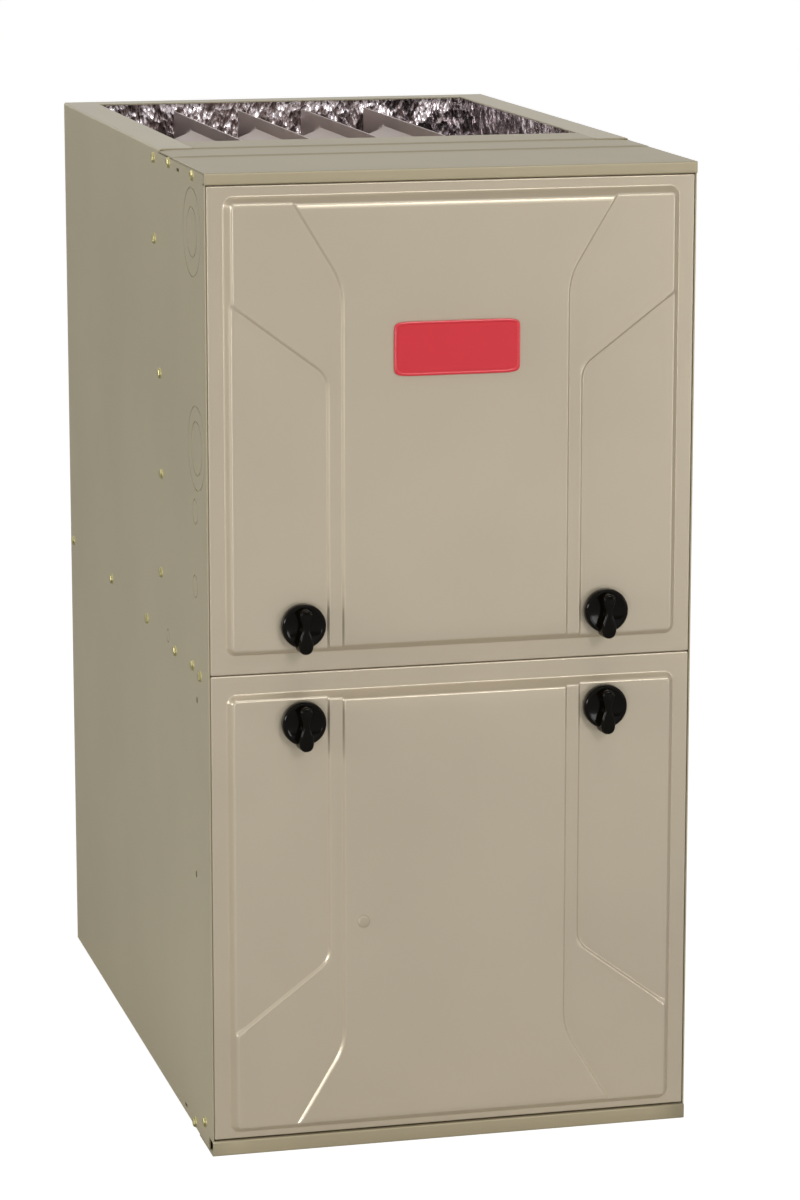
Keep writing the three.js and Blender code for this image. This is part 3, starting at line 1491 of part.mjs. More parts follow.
const pressureX = cellX(0) + 6;
const pressureZ = burnerZ - PRESSURE_SWITCH_DROP;
const pressurePortZ = pressureZ - PRESSURE_SWITCH_RADIUS / 2 - 1;

// A flat diaphragm switch on the cell panel, with a hose port and blade terminals.
function pressureSwitch() {
  const back = CELL_PANEL_Y - SEAT;
  const front = back - PRESSURE_SWITCH_DEPTH;
  const body = turned(
    'y',
    [
      [0, front],
      [12, front],
      [14, front + 10],
      [PRESSURE_SWITCH_RADIUS - 3, front + 11],
      [PRESSURE_SWITCH_RADIUS, front + 14],
      [PRESSURE_SWITCH_RADIUS, back - 6],
      [PRESSURE_SWITCH_RADIUS - 3, back - 3],
      [PRESSURE_SWITCH_RADIUS - 10, back],
      [0, back],
    ],
    pressureX,
    pressureZ,
    20,
  );
  const bore = PRESSURE_HOSE_RADIUS - 0.2;
  const port = rod('y', pressureX, pressurePortZ, front - PRESSURE_PORT, back - 14, bore, 10);
  const blades = [-1, 1].map((side) => box(
    pressureX + side * 6 - 3,
    pressureX + side * 6 + 3,
    front - 8,
    front + 1,
    pressureZ + 3,
    pressureZ + 3 + GAUGE,
  ));
  return joined([body, port, ...blades]);
}

addPart('pressure_switch', pressureSwitch(), 'blackPlastic');

const trapBack = collectorFront - SEAT;
const trapBottom = panelBottom + GAUGE + SEAT + TRAP_FOOT;
const nippleY = trapBack - TRAP_DEPTH / 2;
const nippleZ = trapBottom + TRAP_NIPPLE;
const nippleEnd = trapX - TRAP_LEFT - 18;

// A condensate trap with two chambers and a drain nipple, hung on the collector box.
function condensateTrap() {
  const left = trapX - TRAP_LEFT;
  const right = trapX + TRAP_RIGHT;
  const step = trapX + 4;
  const outline = filleted(
    [
      [left, trapBottom],
      [right, trapBottom],
      [right, trapBottom + TRAP_SHOULDER],
      [step, trapBottom + TRAP_SHOULDER],
      [step, trapBottom + TRAP_HEIGHT],
      [left, trapBottom + TRAP_HEIGHT],
    ],
    5,
    3,
  );
  const body = prism('y', outline, trapBack - TRAP_DEPTH, trapBack);
  const nipple = rod('x', nippleY, nippleZ, nippleEnd, left + 2, DRAIN_RADIUS + 1, 12);
  const capX = (left + step) / 2;
  const cap = rod('z', capX, nippleY, trapBottom + TRAP_HEIGHT - 1, trapBottom + TRAP_HEIGHT + 8, 9, 14);
  return joined([body, nipple, cap]);
}

addPart('condensate_trap', condensateTrap(), 'blackPlastic');

// An open-ended drain hose from the trap's nipple to the left side.
function drainHose() {
  const start = nippleEnd - SEAT;
  const wall = -wallInside + DRAIN_RADIUS + 5;
  return pipe(
    [
      [start, nippleY, nippleZ],
      [start - 10, nippleY, nippleZ],
      [wall, nippleY - 14, nippleZ - 10],
      [wall, nippleY - 40, nippleZ - 24],
    ],
    DRAIN_RADIUS,
    8,
    8,
  );
}

addPart('drain_hose', drainHose(), 'blackPlastic');

// The rubber hose from the collector box up to the pressure switch.
function pressureHose() {
  const portFront = CELL_PANEL_Y - SEAT - PRESSURE_SWITCH_DEPTH - PRESSURE_PORT;
  const tapX = pressureX + HOSE_ASIDE;
  const tapZ = inducerZ - COLLECTOR_NECK - HOSE_TAP_DROP;
  const drop = (share) => pressurePortZ + (tapZ - pressurePortZ) * share;
  return pipe(
    [
      [pressureX, portFront - SEAT, pressurePortZ],
      [pressureX, portFront - HOSE_BOW * 0.64, pressurePortZ],
      [pressureX + HOSE_ASIDE / 6, portFront - HOSE_BOW, drop(0.25)],
      [pressureX + HOSE_ASIDE * 0.75, portFront - HOSE_BOW * 0.82, drop(0.55)],
      [tapX, collectorFront - HOSE_BOW * 0.73, tapZ],
      [tapX, collectorFront - SEAT, tapZ],
    ],
    PRESSURE_HOSE_RADIUS,
    6,
    16,
  );
}

addPart('pressure_hose', pressureHose(), 'blackPlastic');

// A folded steel box on the left side for the line wiring, with a knockout in its front.
function junctionBox() {
  const left = -wallInside + SEAT;
  const right = left + JUNCTION_WIDTH;
  const front = JUNCTION_Y;
  const back = JUNCTION_Y + JUNCTION_DEPTH;
  const bottom = deckTop + JUNCTION_ABOVE_DECK;
  const top = bottom + JUNCTION_HEIGHT;
  const shell = box(left, right, front, back, bottom, top);
  const room = box(left + GAUGE, right - GAUGE, front + GAUGE, back - GAUGE, bottom + GAUGE, top - GAUGE);
  const knockout = rod('y', (left + right) / 2, (bottom + top) / 2, front - 1, front + GAUGE + 1, 11, 20);
  return shell.subtract(room).subtract(knockout);
}

addPart('junction_box', junctionBox(), 'galvanised');

// ---------------------------------------------------------------- blower

const scrollFirst = WHEEL_RADIUS * SCROLL_START;
const scrollAngle = THREE.MathUtils.degToRad(75);
const blowerHalf = BLOWER_WIDTH / 2;
const blowerTop = deckBottom - SEAT;
const inletRadius = WHEEL_RADIUS - WHEEL_BLADE_DEPTH + 2;

// A sheet scroll round the wheel, with a round inlet in each side and its mouth at the deck.
function blowerHousing() {
  const outline = [
    ...scrollOutline(BLOWER_Y, blowerZ, scrollFirst, scrollOutlet, scrollAngle, 2 * Math.PI, 22),
    [BLOWER_Y + scrollOutlet, blowerTop],
    [BLOWER_Y + scrollCutOff, blowerTop],
  ];
  const inside = outline.map(([y, z]) => [y, z === blowerTop ? blowerTop + 1 : z]);
  const shell = prism('x', offset(outline, -GAUGE), -blowerHalf, blowerHalf);
  const trim = box(-blowerHalf - 20, blowerHalf + 20, 0, CABINET_DEPTH, blowerTop, blowerTop + 20);
  const room = prism('x', inside, -blowerHalf + GAUGE, blowerHalf - GAUGE);
  const inlets = rod('x', BLOWER_Y, blowerZ, -blowerHalf - 6, blowerHalf + 6, inletRadius, 28);
  const rings = [-1, 1].map((side) => {
    const from = Math.min(side * (blowerHalf - GAUGE), side * (blowerHalf + 5));
    const to = Math.max(side * (blowerHalf - GAUGE), side * (blowerHalf + 5));
    return rod('x', BLOWER_Y, blowerZ, from, to, inletRadius + 7, 28);
  });
  const flanges = [-1, 1].map((side) => {
    const inner = side * (blowerHalf - GAUGE);
    const outer = side * (blowerHalf + 18);
    return box(
      Math.min(inner, outer),
      Math.max(inner, outer),
      BLOWER_Y - 60,
      BLOWER_Y + scrollOutlet,
      blowerTop - GAUGE,
      blowerTop,
    );
  });
  return joined([shell.subtract(trim), ...rings, ...flanges]).subtract(room).subtract(inlets);
}

addPart('blower_housing', blowerHousing(), 'galvanised');

const motorRight = WHEEL_WIDTH / 2 + MOTOR_OUT;
const motorLeft = motorRight - MOTOR_LENGTH;

// A squirrel-cage wheel: forward-curved blades between two end rings, on a centre plate.
function blowerWheel() {
  const inner = WHEEL_RADIUS - WHEEL_BLADE_DEPTH;
  const half = WHEEL_WIDTH / 2;
  const blades = [];
  for (let k = 0; k < WHEEL_BLADES; k += 1) {
    const turn = (k / WHEEL_BLADES) * Math.PI * 2;
    const crest = [];
    const steps = 1;
    for (let s = 0; s <= steps; s += 1) {
      const share = s / steps;
      const radius = inner + 1 + (WHEEL_BLADE_DEPTH - 2) * share;
      const angle = turn + 0.16 * share * share;
      crest.push([BLOWER_Y + radius * Math.cos(angle), blowerZ + radius * Math.sin(angle)]);
    }
    blades.push(prism('x', bentSheet(crest, 1), -half + 1, half - 1));
  }
  const ring = (x0, x1) => rod('x', BLOWER_Y, blowerZ, x0, x1, WHEEL_RADIUS, 36)
    .subtract(rod('x', BLOWER_Y, blowerZ, x0 - 1, x1 + 1, inner, 36));
  const plateLeft = motorLeft - 16;
  const plate = rod('x', BLOWER_Y, blowerZ, plateLeft, plateLeft + 2, WHEEL_RADIUS - 0.5, 36);
  const hub = rod('x', BLOWER_Y, blowerZ, plateLeft - 14, plateLeft + 6, 20, 16);
  const shaft = rod('x', BLOWER_Y, blowerZ, plateLeft - 22, motorLeft - SEAT, SHAFT_RADIUS, 12);
  return joined([ring(-half, -half + 4), ring(half - 4, half), plate, hub, shaft, ...blades]);
}

addPart('blower_wheel', blowerWheel(), 'galvanised');

// The motor lies in the wheel's open half, carried by three arms on the right inlet.
function blowerMotor() {
  const can = turned(
    'x',
    [
      [0, motorLeft],
      [24, motorLeft],
      [MOTOR_RADIUS - 6, motorLeft + 4],
      [MOTOR_RADIUS, motorLeft + 12],
      [MOTOR_RADIUS, motorRight - 12],
      [MOTOR_RADIUS - 6, motorRight - 4],
      [24, motorRight],
      [0, motorRight],
    ],
    BLOWER_Y,
    blowerZ,
    24,
  );
  const plug = box(motorRight - 4, motorRight + 12, BLOWER_Y - 18, BLOWER_Y + 18, blowerZ - 44, blowerZ - 20);
  return can.add(plug);
}

addPart('blower_motor', blowerMotor(), 'motorBlack');

const capacitorY = BLOWER_Y - scrollFirst - CAPACITOR_HALF_DEPTH - 20;
const capacitorZ = blowerTop - CAPACITOR_HALF_HEIGHT - 20;

// The motor's run capacitor: an oval can in a strap under the deck, beside the scroll.
function motorCapacitor() {
  const x = blowerHalf - CAPACITOR_LENGTH / 2 - 2;
  const [deep, high] = [CAPACITOR_HALF_DEPTH, CAPACITOR_HALF_HEIGHT];
  const end = x + CAPACITOR_LENGTH / 2;
  const oval = rectangle(capacitorY - deep, capacitorY + deep, capacitorZ - high, capacitorZ + high);
  const can = prism('x', filleted(oval, high - 1, 4), end - CAPACITOR_LENGTH, end);
  const strapHalf = deep + 8;
  const [y0, y1] = [capacitorY - strapHalf, capacitorY + strapHalf];
  const strap = box(x - 9, x + 9, y0, y1, capacitorZ + high - 2, blowerTop);
  const blades = [-9, 9].map((dy) => box(
    end - 1,
    end + 9,
    capacitorY + dy - 3,
    capacitorY + dy + 3,
    capacitorZ - 0.5,
    capacitorZ + 0.5,
  ));
  return joined([can, strap, ...blades]);
}

addPart('motor_capacitor', motorCapacitor(), 'galvanised');

// A clamp band round the motor with three arms out to the inlet ring.
function motorMount() {
  const bandLeft = motorRight - 34;
  const plane = blowerHalf + 5 + SEAT;
  const band = rod('x', BLOWER_Y, blowerZ, bandLeft, plane + GAUGE * 2, MOTOR_RADIUS + SEAT + 2, 32);
  const hole = rod('x', BLOWER_Y, blowerZ, bandLeft - 1, plane + GAUGE * 2 + 1, MOTOR_RADIUS + SEAT, 32);
  const arms = [90, 210, 330].map((degrees) => {
    const arm = new THREE.BoxGeometry(GAUGE * 2, inletRadius + 5 - MOTOR_RADIUS, 22);
    arm.translate(plane + GAUGE, (inletRadius + 5 + MOTOR_RADIUS) / 2, 0);
    arm.rotateX(THREE.MathUtils.degToRad(degrees));
    arm.translate(0, BLOWER_Y, blowerZ);
    return solidOf(arm);
  });
  return joined([band, ...arms]).subtract(hole);
}

addPart('motor_mount', motorMount(), 'galvanised');

// ---------------------------------------------------------------- controls

const trayLeft = -wallInside + TRAY_FROM_WALL;
const trayBottom = sightGlassZ - TRAY_BELOW_LAMP;
const boardLeft = SIGHT_GLASS_X - BOARD_HALF_WIDTH;
const boardRight = SIGHT_GLASS_X + BOARD_HALF_WIDTH;

// A sheet tray hung from the deck in front of the blower.
function controlTray() {
  const line = [
    [TRAY_Y + 16, trayBottom],
    [TRAY_Y, trayBottom],
    [TRAY_Y, blowerTop],
    [TRAY_Y + 24, blowerTop],
  ];
  return prism('x', bentSheet(line, -GAUGE), trayLeft, TRAY_RIGHT);
}

addPart('control_tray', controlTray(), 'galvanised');

// A circuit board on stand-offs with its relays, terminals, fuse and capacitor.
function controlBoard() {
  const z0 = sightGlassZ - BOARD_BELOW_LAMP;
  const z1 = sightGlassZ + BOARD_ABOVE_LAMP;
  const face = TRAY_Y - BOARD_STAND;
  const board = box(boardLeft, boardRight, face, face + BOARD_THICK, z0, z1);
  const corner = 7;
  const posts = [
    [boardLeft + corner, z0 + corner],
    [boardRight - corner, z0 + corner],
    [boardLeft + corner, z1 - corner],
    [boardRight - corner, z1 - corner],
  ].map(([x, z]) => rod('y', x, z, face + 1, TRAY_Y - SEAT, 3.5, 8));
  const raised = (x, z, width, height, depth) => box(x, x + width, face - depth, face + 1, z, z + height);
  const relays = [0, 1, 2].map((i) => raised(
    boardRight - RELAY_WIDTH - 12,
    z0 + 16 + i * RELAY_PITCH,
    RELAY_WIDTH,
    RELAY_HEIGHT,
    RELAY_DEPTH,
  ));
  const terminals = raised(boardLeft + 12, z0 + 8, 62, 12, 9);
  const header = raised(boardLeft + 8, z0 + 34, 10, z1 - z0 - 68, 12);
  const chip = raised(SIGHT_GLASS_X - 12, sightGlassZ + 22, 26, 14, 3);
  const fuse = raised(SIGHT_GLASS_X - 4, z0 + 34, 20, 8, 8);
  const lamp = rod('y', SIGHT_GLASS_X, sightGlassZ, face - 6, face + 1, 3, 10);
  const capacitor = rod('y', SIGHT_GLASS_X - 22, z1 - 22, face - RELAY_DEPTH, face + 1, 7, 14);
  return joined([board, ...posts, ...relays, terminals, header, chip, lamp, capacitor, fuse]);
}

addPart('control_board', controlBoard(), 'boardGreen');

// A small laminated transformer on the tray.
function transformer() {
  const x = TRANSFORMER_X;
  const z = sightGlassZ + TRANSFORMER_ABOVE_LAMP;
  const back = TRAY_Y - SEAT;
  const [coreHalf, coreDepth, coreHigh] = TRANSFORMER_CORE;
  const [coilHalf, coilDepth, coilHigh] = TRANSFORMER_COIL;
  const core = box(x - coreHalf, x + coreHalf, back - coreDepth, back - 2, z - coreHigh, z + coreHigh);
  const coil = box(x - coilHalf, x + coilHalf, back - coilDepth, back - 20, z - coilHigh, z + coilHigh);
  const foot = box(x - coilHigh, x + coilHigh, back - 3, back, z - coilHigh, z + coilHigh);
  return joined([core, coil, foot]);
}

addPart('transformer', transformer(), 'motorBlack');

// The door interlock: a moulded switch on a strap under the deck, with a guided plunger.
function doorSwitch() {
  const wide = GUIDE_HALF_WIDTH + 8;
  const high = GUIDE_HALF_HEIGHT + 4;
  const body = box(
    INTERLOCK_X - wide,
    INTERLOCK_X + wide,
    INTERLOCK_Y,
    INTERLOCK_Y + INTERLOCK_DEPTH,
    interlockZ - high,
    deckBottom - SEAT,
  );
  const bezel = box(
    INTERLOCK_X - wide - 3,
    INTERLOCK_X + wide + 3,
    INTERLOCK_Y - 2,
    INTERLOCK_Y + 1,
    interlockZ - high - 2,
    interlockZ + high + 2,
  );
  const guide = box(
    INTERLOCK_X - GUIDE_HALF_WIDTH,
    INTERLOCK_X + GUIDE_HALF_WIDTH,
    INTERLOCK_Y - 3,
    INTERLOCK_Y + 14,
    interlockZ - GUIDE_HALF_HEIGHT,
    interlockZ + GUIDE_HALF_HEIGHT,
  );
  return joined([body, bezel]).subtract(guide);
}

addPart('door_switch', doorSwitch(), 'blackPlastic');

addPart(
  'switch_plunger',
  prism(
    'y',
    filleted(rectangle(
      INTERLOCK_X - GUIDE_HALF_WIDTH + SEAT,
      INTERLOCK_X + GUIDE_HALF_WIDTH - SEAT,
      interlockZ - GUIDE_HALF_HEIGHT + SEAT,
      interlockZ + GUIDE_HALF_HEIGHT - SEAT,
    ), 1.5, 2),
    DOOR_RETURN + SEAT,
    INTERLOCK_Y + 6,
  ),
  'leverWhite',
);

// ---------------------------------------------------------------- centre the finished furnace

const knobFront = knobBack - KNOB_DISC - KNOB_GRIP;
furnace.position.y = -(CABINET_DEPTH + knobFront) / 2;

export default furnace;
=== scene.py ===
import json
import math

import bmesh
import bpy
import numpy as np
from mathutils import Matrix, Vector

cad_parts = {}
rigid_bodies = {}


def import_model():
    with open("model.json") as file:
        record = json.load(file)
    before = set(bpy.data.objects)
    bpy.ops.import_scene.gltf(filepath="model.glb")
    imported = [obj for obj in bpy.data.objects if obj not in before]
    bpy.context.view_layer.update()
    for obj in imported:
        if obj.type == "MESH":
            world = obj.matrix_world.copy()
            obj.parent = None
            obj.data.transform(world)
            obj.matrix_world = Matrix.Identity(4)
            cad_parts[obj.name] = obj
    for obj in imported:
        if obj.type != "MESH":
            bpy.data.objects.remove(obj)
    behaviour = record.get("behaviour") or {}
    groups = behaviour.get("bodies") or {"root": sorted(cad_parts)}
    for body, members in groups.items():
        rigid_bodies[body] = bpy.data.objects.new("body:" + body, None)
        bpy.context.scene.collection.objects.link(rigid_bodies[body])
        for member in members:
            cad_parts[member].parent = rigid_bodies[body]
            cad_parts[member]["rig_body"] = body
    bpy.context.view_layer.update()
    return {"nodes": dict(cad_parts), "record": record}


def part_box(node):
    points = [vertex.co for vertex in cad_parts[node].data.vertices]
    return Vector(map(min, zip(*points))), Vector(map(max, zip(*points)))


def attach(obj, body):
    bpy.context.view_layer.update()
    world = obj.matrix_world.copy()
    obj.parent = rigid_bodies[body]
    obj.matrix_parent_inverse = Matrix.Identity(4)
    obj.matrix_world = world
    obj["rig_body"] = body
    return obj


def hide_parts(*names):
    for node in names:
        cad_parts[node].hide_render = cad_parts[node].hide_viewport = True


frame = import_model()

# ---------------------------------------------------------------- camera
# The photograph's viewpoint: in front, a little to the left and above, with a long lens.

SENSOR = 36
PHOTO_HEIGHT = 1200
FOCAL_LENGTH = 4113  # in pixels of the photograph, as its height is
YAW, PITCH = math.radians(14.14), math.radians(-11.65)

camera_data = bpy.data.cameras.new("camera")
camera = bpy.data.objects.new("camera", camera_data)
bpy.context.scene.collection.objects.link(camera)
bpy.context.scene.camera = camera
camera_data.sensor_width = SENSOR
camera_data.lens = FOCAL_LENGTH * SENSOR / PHOTO_HEIGHT
camera_data.clip_start = 0.05
camera_data.clip_end = 100
camera.location = (-0.9219, -3.8167, 1.2410)
aim = Vector((math.sin(YAW) * math.cos(PITCH), math.cos(YAW) * math.cos(PITCH), math.sin(PITCH)))
camera.rotation_mode = "QUATERNION"
camera.rotation_quaternion = aim.to_track_quat("-Z", "Y")

# ---------------------------------------------------------------- studio
# A plain white sweep under soft lamps: a key high in front, a low lamp that evens out the
# lower door, a small one whose sheen grows towards the doors' right, a fill from the left
# and a lamp overhead, whose light draws the pressings' edges.

# y of the cabinet's front edge, flush with the doors' border; the shapes below are in
# millimetres from the middle (x), from this edge towards the back (y) and from the floor (z).
FACE_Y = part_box("casing_wrap")[0].y * 1000


def linear(colour):
    """An sRGB hex colour as linear red, green, blue and alpha."""
    srgb = np.array([int(colour[i:i + 2], 16) for i in (1, 3, 5)]) / 255
    low = srgb <= 0.04045
    return (*np.where(low, srgb / 12.92, ((srgb + 0.055) / 1.055) ** 2.4), 1.0)


def add_node(tree, kind, settings=None, inputs=None):
    """Adds a shader node, sets its properties, and sets or joins its inputs by name or place."""
    made = tree.nodes.new(kind)
    for key, value in (settings or {}).items():
        setattr(made, key, value)
    for key, value in (inputs or {}).items():
        if isinstance(value, bpy.types.NodeSocket):
            tree.links.new(value, made.inputs[key])
        else:
            made.inputs[key].default_value = value
    return made


def new_material(name):
    """A material with its Principled shader; returns the material, its nodes and the shader."""
    material = bpy.data.materials.new(name)
    material.use_nodes = True
    return material, material.node_tree, material.node_tree.nodes["Principled BSDF"]


def make_object(name, points, faces, material, smooth=35):
    """A mesh object from points in millimetres and faces, smooth below an angle in degrees."""
    mesh = bpy.data.meshes.new(name)
    place = (np.asarray(points, float).reshape(-1, 3) + [0, FACE_Y, 0]) / 1000
    mesh.from_pydata(place.tolist(), [], [list(face) for face in faces])
    mesh.materials.append(material)
    mesh.shade_smooth()
    mesh.set_sharp_from_angle(angle=math.radians(smooth))
    piece = bpy.data.objects.new(name, mesh)
    bpy.context.scene.collection.objects.link(piece)
    return piece


world = bpy.data.worlds.new("white_studio")
bpy.context.scene.world = world
world.use_nodes = True
tree = world.node_tree
tree.nodes.clear()
rays = add_node(tree, "ShaderNodeLightPath").outputs
larger = {"operation": "MAXIMUM"}
seen = add_node(tree, "ShaderNodeMath", larger, {0: rays["Is Camera Ray"], 1: rays["Is Glossy Ray"]})
seen = add_node(tree, "ShaderNodeMath", larger, {0: seen.outputs[0], 1: rays["Is Transmission Ray"]})
soft = add_node(tree, "ShaderNodeBackground", None, {"Color": linear("#FFFFFF"), "Strength": 0.17})
white = add_node(tree, "ShaderNodeBackground", None, {"Color": linear("#FFFFFF"), "Strength": 1.05})
sky = add_node(
    tree, "ShaderNodeMixShader", None, {0: seen.outputs[0], 1: soft.outputs[0], 2: white.outputs[0]}
)
add_node(tree, "ShaderNodeOutputWorld", None, {"Surface": sky.outputs[0]})
bpy.context.scene.view_settings.view_transform = "Standard"

LAMP_AIM = Vector((0, 0, 0.45))  # half way up the furnace, in metres
for name, place, size, watts in (
    ("key_lamp", (1.5, -5.1, 3.0), 1.4, 86),
    ("low_lamp", (-2.2, -4.8, 0.1), 1.4, 66),
    ("right_lamp", (2.5, -3.7, 0.2), 1.0, 26),
    ("fill_lamp", (-5.5, -0.9, 1.6), 1.5, 114),
    ("top_lamp", (0.2, -2.0, 4.6), 1.4, 29),
):
    lamp_data = bpy.data.lights.new(name, "AREA")
    lamp_data.shape = "DISK"
    lamp_data.size = size
    lamp_data.energy = watts
    lamp = bpy.data.objects.new(name, lamp_data)
    bpy.context.scene.collection.objects.link(lamp)
    lamp.location = place
    lamp.rotation_mode = "QUATERNION"
    lamp.rotation_quaternion = (LAMP_AIM - Vector(place)).to_track_quat("-Z", "Y")

# Matt paper: camera rays see six tenths of it as plain white, so only the shadow shows.
paper, tree, shader = new_material("matt_white_paper")
shader.inputs["Base Color"].default_value = linear("#F2F2F1")
shader.inputs["Roughness"].default_value = 0.9
rays = add_node(tree, "ShaderNodeLightPath").outputs
glow = add_node(tree, "ShaderNodeEmission", None, {"Color": linear("#FFFFFF"), "Strength": 1.52})
part = add_node(tree, "ShaderNodeMath", {"operation": "MULTIPLY"}, {0: rays["Is Camera Ray"], 1: 0.6})
lit = add_node(
    tree, "ShaderNodeMixShader", None, {0: part.outputs[0], 1: shader.outputs[0], 2: glow.outputs[0]}
)
tree.links.new(lit.outputs[0], tree.nodes["Material Output"].inputs["Surface"])
FLOOR_REACH = 30000
FLOOR_LEVEL = -0.2  # a hair under the cabinet's foot
corners = [[x * FLOOR_REACH, y * FLOOR_REACH, FLOOR_LEVEL] for x, y in ((-1, -1), (1, -1), (1, 1), (-1, 1))]
floor = make_object("floor", corners, [[0, 1, 2, 3]], paper)

# ---------------------------------------------------------------- cabinet wrapper
# One sheet of prepainted steel, 1.2 mm thick, folded round the left side, back and right
# side, with flanges turned in at the top and bottom. Knockouts for pipes and wires are
# half sheared in both sides, and slots and holes are punched.

HALF_WIDTH = 222.5
DEPTH = 724
HEIGHT = 889
SHEET = 1.2
TOP_FLANGE = 32
BOTTOM_FLANGE = 25
CORNER_BEND = 6
FLANGE_BEND = 2.2
SHEET_BEND = 1.8  # of the smaller parts folded from this sheet
GRID = 40  # the most that two rows or columns of the wrapper's grid are apart


def vary(shader, pattern, span, gloss=None, tone=None, colour=None):
    """Lets a pattern move a finish. As the pattern goes over its span, the roughness goes
    over `gloss`, and the colour's brightness is multiplied by what goes over `tone`."""
    tree = pattern.id_data
    for limits, socket in ((gloss, "Roughness"), (tone, "Base Color")):
        if limits is None:
            continue
        value = add_node(
            tree, "ShaderNodeMapRange", None,
            {"Value": pattern, "From Min": span[0], "From Max": span[1],
             "To Min": limits[0], "To Max": limits[1]},
        )
        if limits is tone:
            tinted = {"Color": linear(colour), "Value": value.outputs[0]}
            value = add_node(tree, "ShaderNodeHueSaturation", None, tinted)
        tree.links.new(value.outputs[0], shader.inputs[socket])


def enamel(name, colour, roughness, metallic):
    """Baked polyester enamel on smooth steel sheet: orange peel about 1.2 mm across, a tone
    that drifts by 3 per cent over 14 cm, and a soft metallic gloss from its pigment."""
    material, tree, shader = new_material(name)
    place = add_node(tree, "ShaderNodeTexCoord").outputs["Object"]
    broad = add_node(tree, "ShaderNodeTexNoise", None, {"Vector": place, "Scale": 1000 / 143, "Detail": 2.0})
    vary(shader, broad.outputs["Fac"], (0.3, 0.7), tone=(0.97, 1.03), colour=colour)
    peel = add_node(tree, "ShaderNodeTexNoise", None, {"Vector": place, "Scale": 1000 / 1.18, "Detail": 2.0})
    vary(shader, peel.outputs["Fac"], (0.2, 0.8), gloss=(roughness - 0.015, roughness + 0.015))
    bump = add_node(
        tree, "ShaderNodeBump", None, {"Height": peel.outputs["Fac"], "Strength": 0.02, "Distance": 0.0002}
    )
    tree.links.new(bump.outputs[0], shader.inputs["Normal"])
    shader.inputs["Metallic"].default_value = metallic
    return material


side_enamel = enamel("olive_baked_enamel", "#ABA185", 0.42, 0.25)


def grid_faces(rows, columns, wrap_rows=False, wrap_columns=False):
    """Quads between the points of a grid; a wrapped direction closes on itself."""
    row = np.arange(rows if wrap_rows else rows - 1)
    column = np.arange(columns if wrap_columns else columns - 1)
    r0, c0 = np.meshgrid(row, column, indexing="ij")
    r1, c1 = (r0 + 1) % rows, (c0 + 1) % columns
    quads = [r0 * columns + c0, r0 * columns + c1, r1 * columns + c1, r1 * columns + c0]
    return np.stack(quads, axis=-1).reshape(-1, 4)


def bent(points, radius, steps=5):
    """An open line with each corner turned to an arc that touches both of its sides: the arc
    is the blend of its two end radii from the arc's centre, weighted by the sine of the
    angle still to go and already gone."""
    points = np.asarray(points, float)
    line = [points[:1]]
    for before, corner, after in zip(points[:-2], points[1:-1], points[2:]):
        a, b = before - corner, after - corner
        reach = 0.49 * min(np.linalg.norm(a), np.linalg.norm(b))
        a, b = a / np.linalg.norm(a), b / np.linalg.norm(b)
        half = math.acos(np.clip(a @ b, -1, 1)) / 2
        run = min(radius / math.tan(half), reach)
        centre = corner + (a + b) / np.linalg.norm(a + b) * run / math.cos(half)
        start, end = corner + a * run - centre, corner + b * run - centre
        turn = math.pi - 2 * half
        t = np.linspace(0, 1, steps + 1)[:, None]
        line.append(centre + (np.sin((1 - t) * turn) * start + np.sin(t * turn) * end) / math.sin(turn))
    line.append(points[-1:])
    return np.vstack(line)


def paced(line, spacing):
    """A line with points added by straight interpolation wherever they lie further apart
    along it than the spacing."""
    line = np.asarray(line, float)
    along = np.append(0, np.cumsum(np.linalg.norm(np.diff(line, axis=0), axis=1)))
    even = np.linspace(0, along[-1], int(along[-1] / spacing) + 2)
    clear = np.abs(even[:, None] - along[None, :]).min(axis=1) > spacing * 0.4
    every = np.sort(np.concatenate([along, even[clear]]))
    return np.stack([np.interp(every, along, line[:, k]) for k in range(line.shape[1])], axis=-1)


def circle(count, radius):
    """Points of a circle: the radius times the cosine and sine of evenly spread angles."""
    angle = np.arange(count) * 2 * np.pi / count
    return radius * np.stack([np.cos(angle), np.sin(angle)], axis=-1)


def carried(section, x0, x1):
    """A closed section in (y, z) carried along x, with flat ends; returns points and faces."""
    count = len(section)
    points = np.empty((2, count, 3))
    points[..., 0] = [[x0], [x1]]
    points[..., 1:] = section
    faces = grid_faces(2, count, wrap_columns=True).tolist()
    return points, faces + [list(range(count)), list(range(count, 2 * count))[::-1]]


def ringed(centre_y, centre_z, profile, sides):
    """A profile of (x, radius) pairs turned about the line through (centre_y, centre_z) along
    x; the profile is a closed loop, so the body is a ring."""
    profile = np.asarray(profile, float)
    x = np.broadcast_to(profile[:, None, 0], (len(profile), sides))
    y, z = profile[:, None, 1] * circle(sides, 1).T[:, None]
    return np.stack([x, centre_y + y, centre_z + z], axis=-1), grid_faces(len(profile), sides, True, True)


def gathered(parts):
    """Several (points, faces) bodies as one list of points and one list of faces."""
    points, faces, offset = [], [], 0
    for part_points, part_faces in parts:
        points.append(np.asarray(part_points, float).reshape(-1, 3))
        faces.extend([[index + offset for index in face] for face in part_faces])
        offset += len(points[-1])
    return np.vstack(points), faces


def reworked(mesh, change, target=None):
    """Runs a change on a mesh and keeps its result there, or in a target mesh."""
    shell = bmesh.new()
    shell.from_mesh(mesh)
    change(shell)
    shell.to_mesh(target or mesh)
    shell.free()


def weld(shell):
    """Joins the points that lie on each other."""
    bmesh.ops.remove_doubles(shell, verts=shell.verts, dist=1e-6)


def face_out(shell):
    """Turns every face of a closed shell outwards."""
    bmesh.ops.recalc_face_normals(shell, faces=shell.faces)


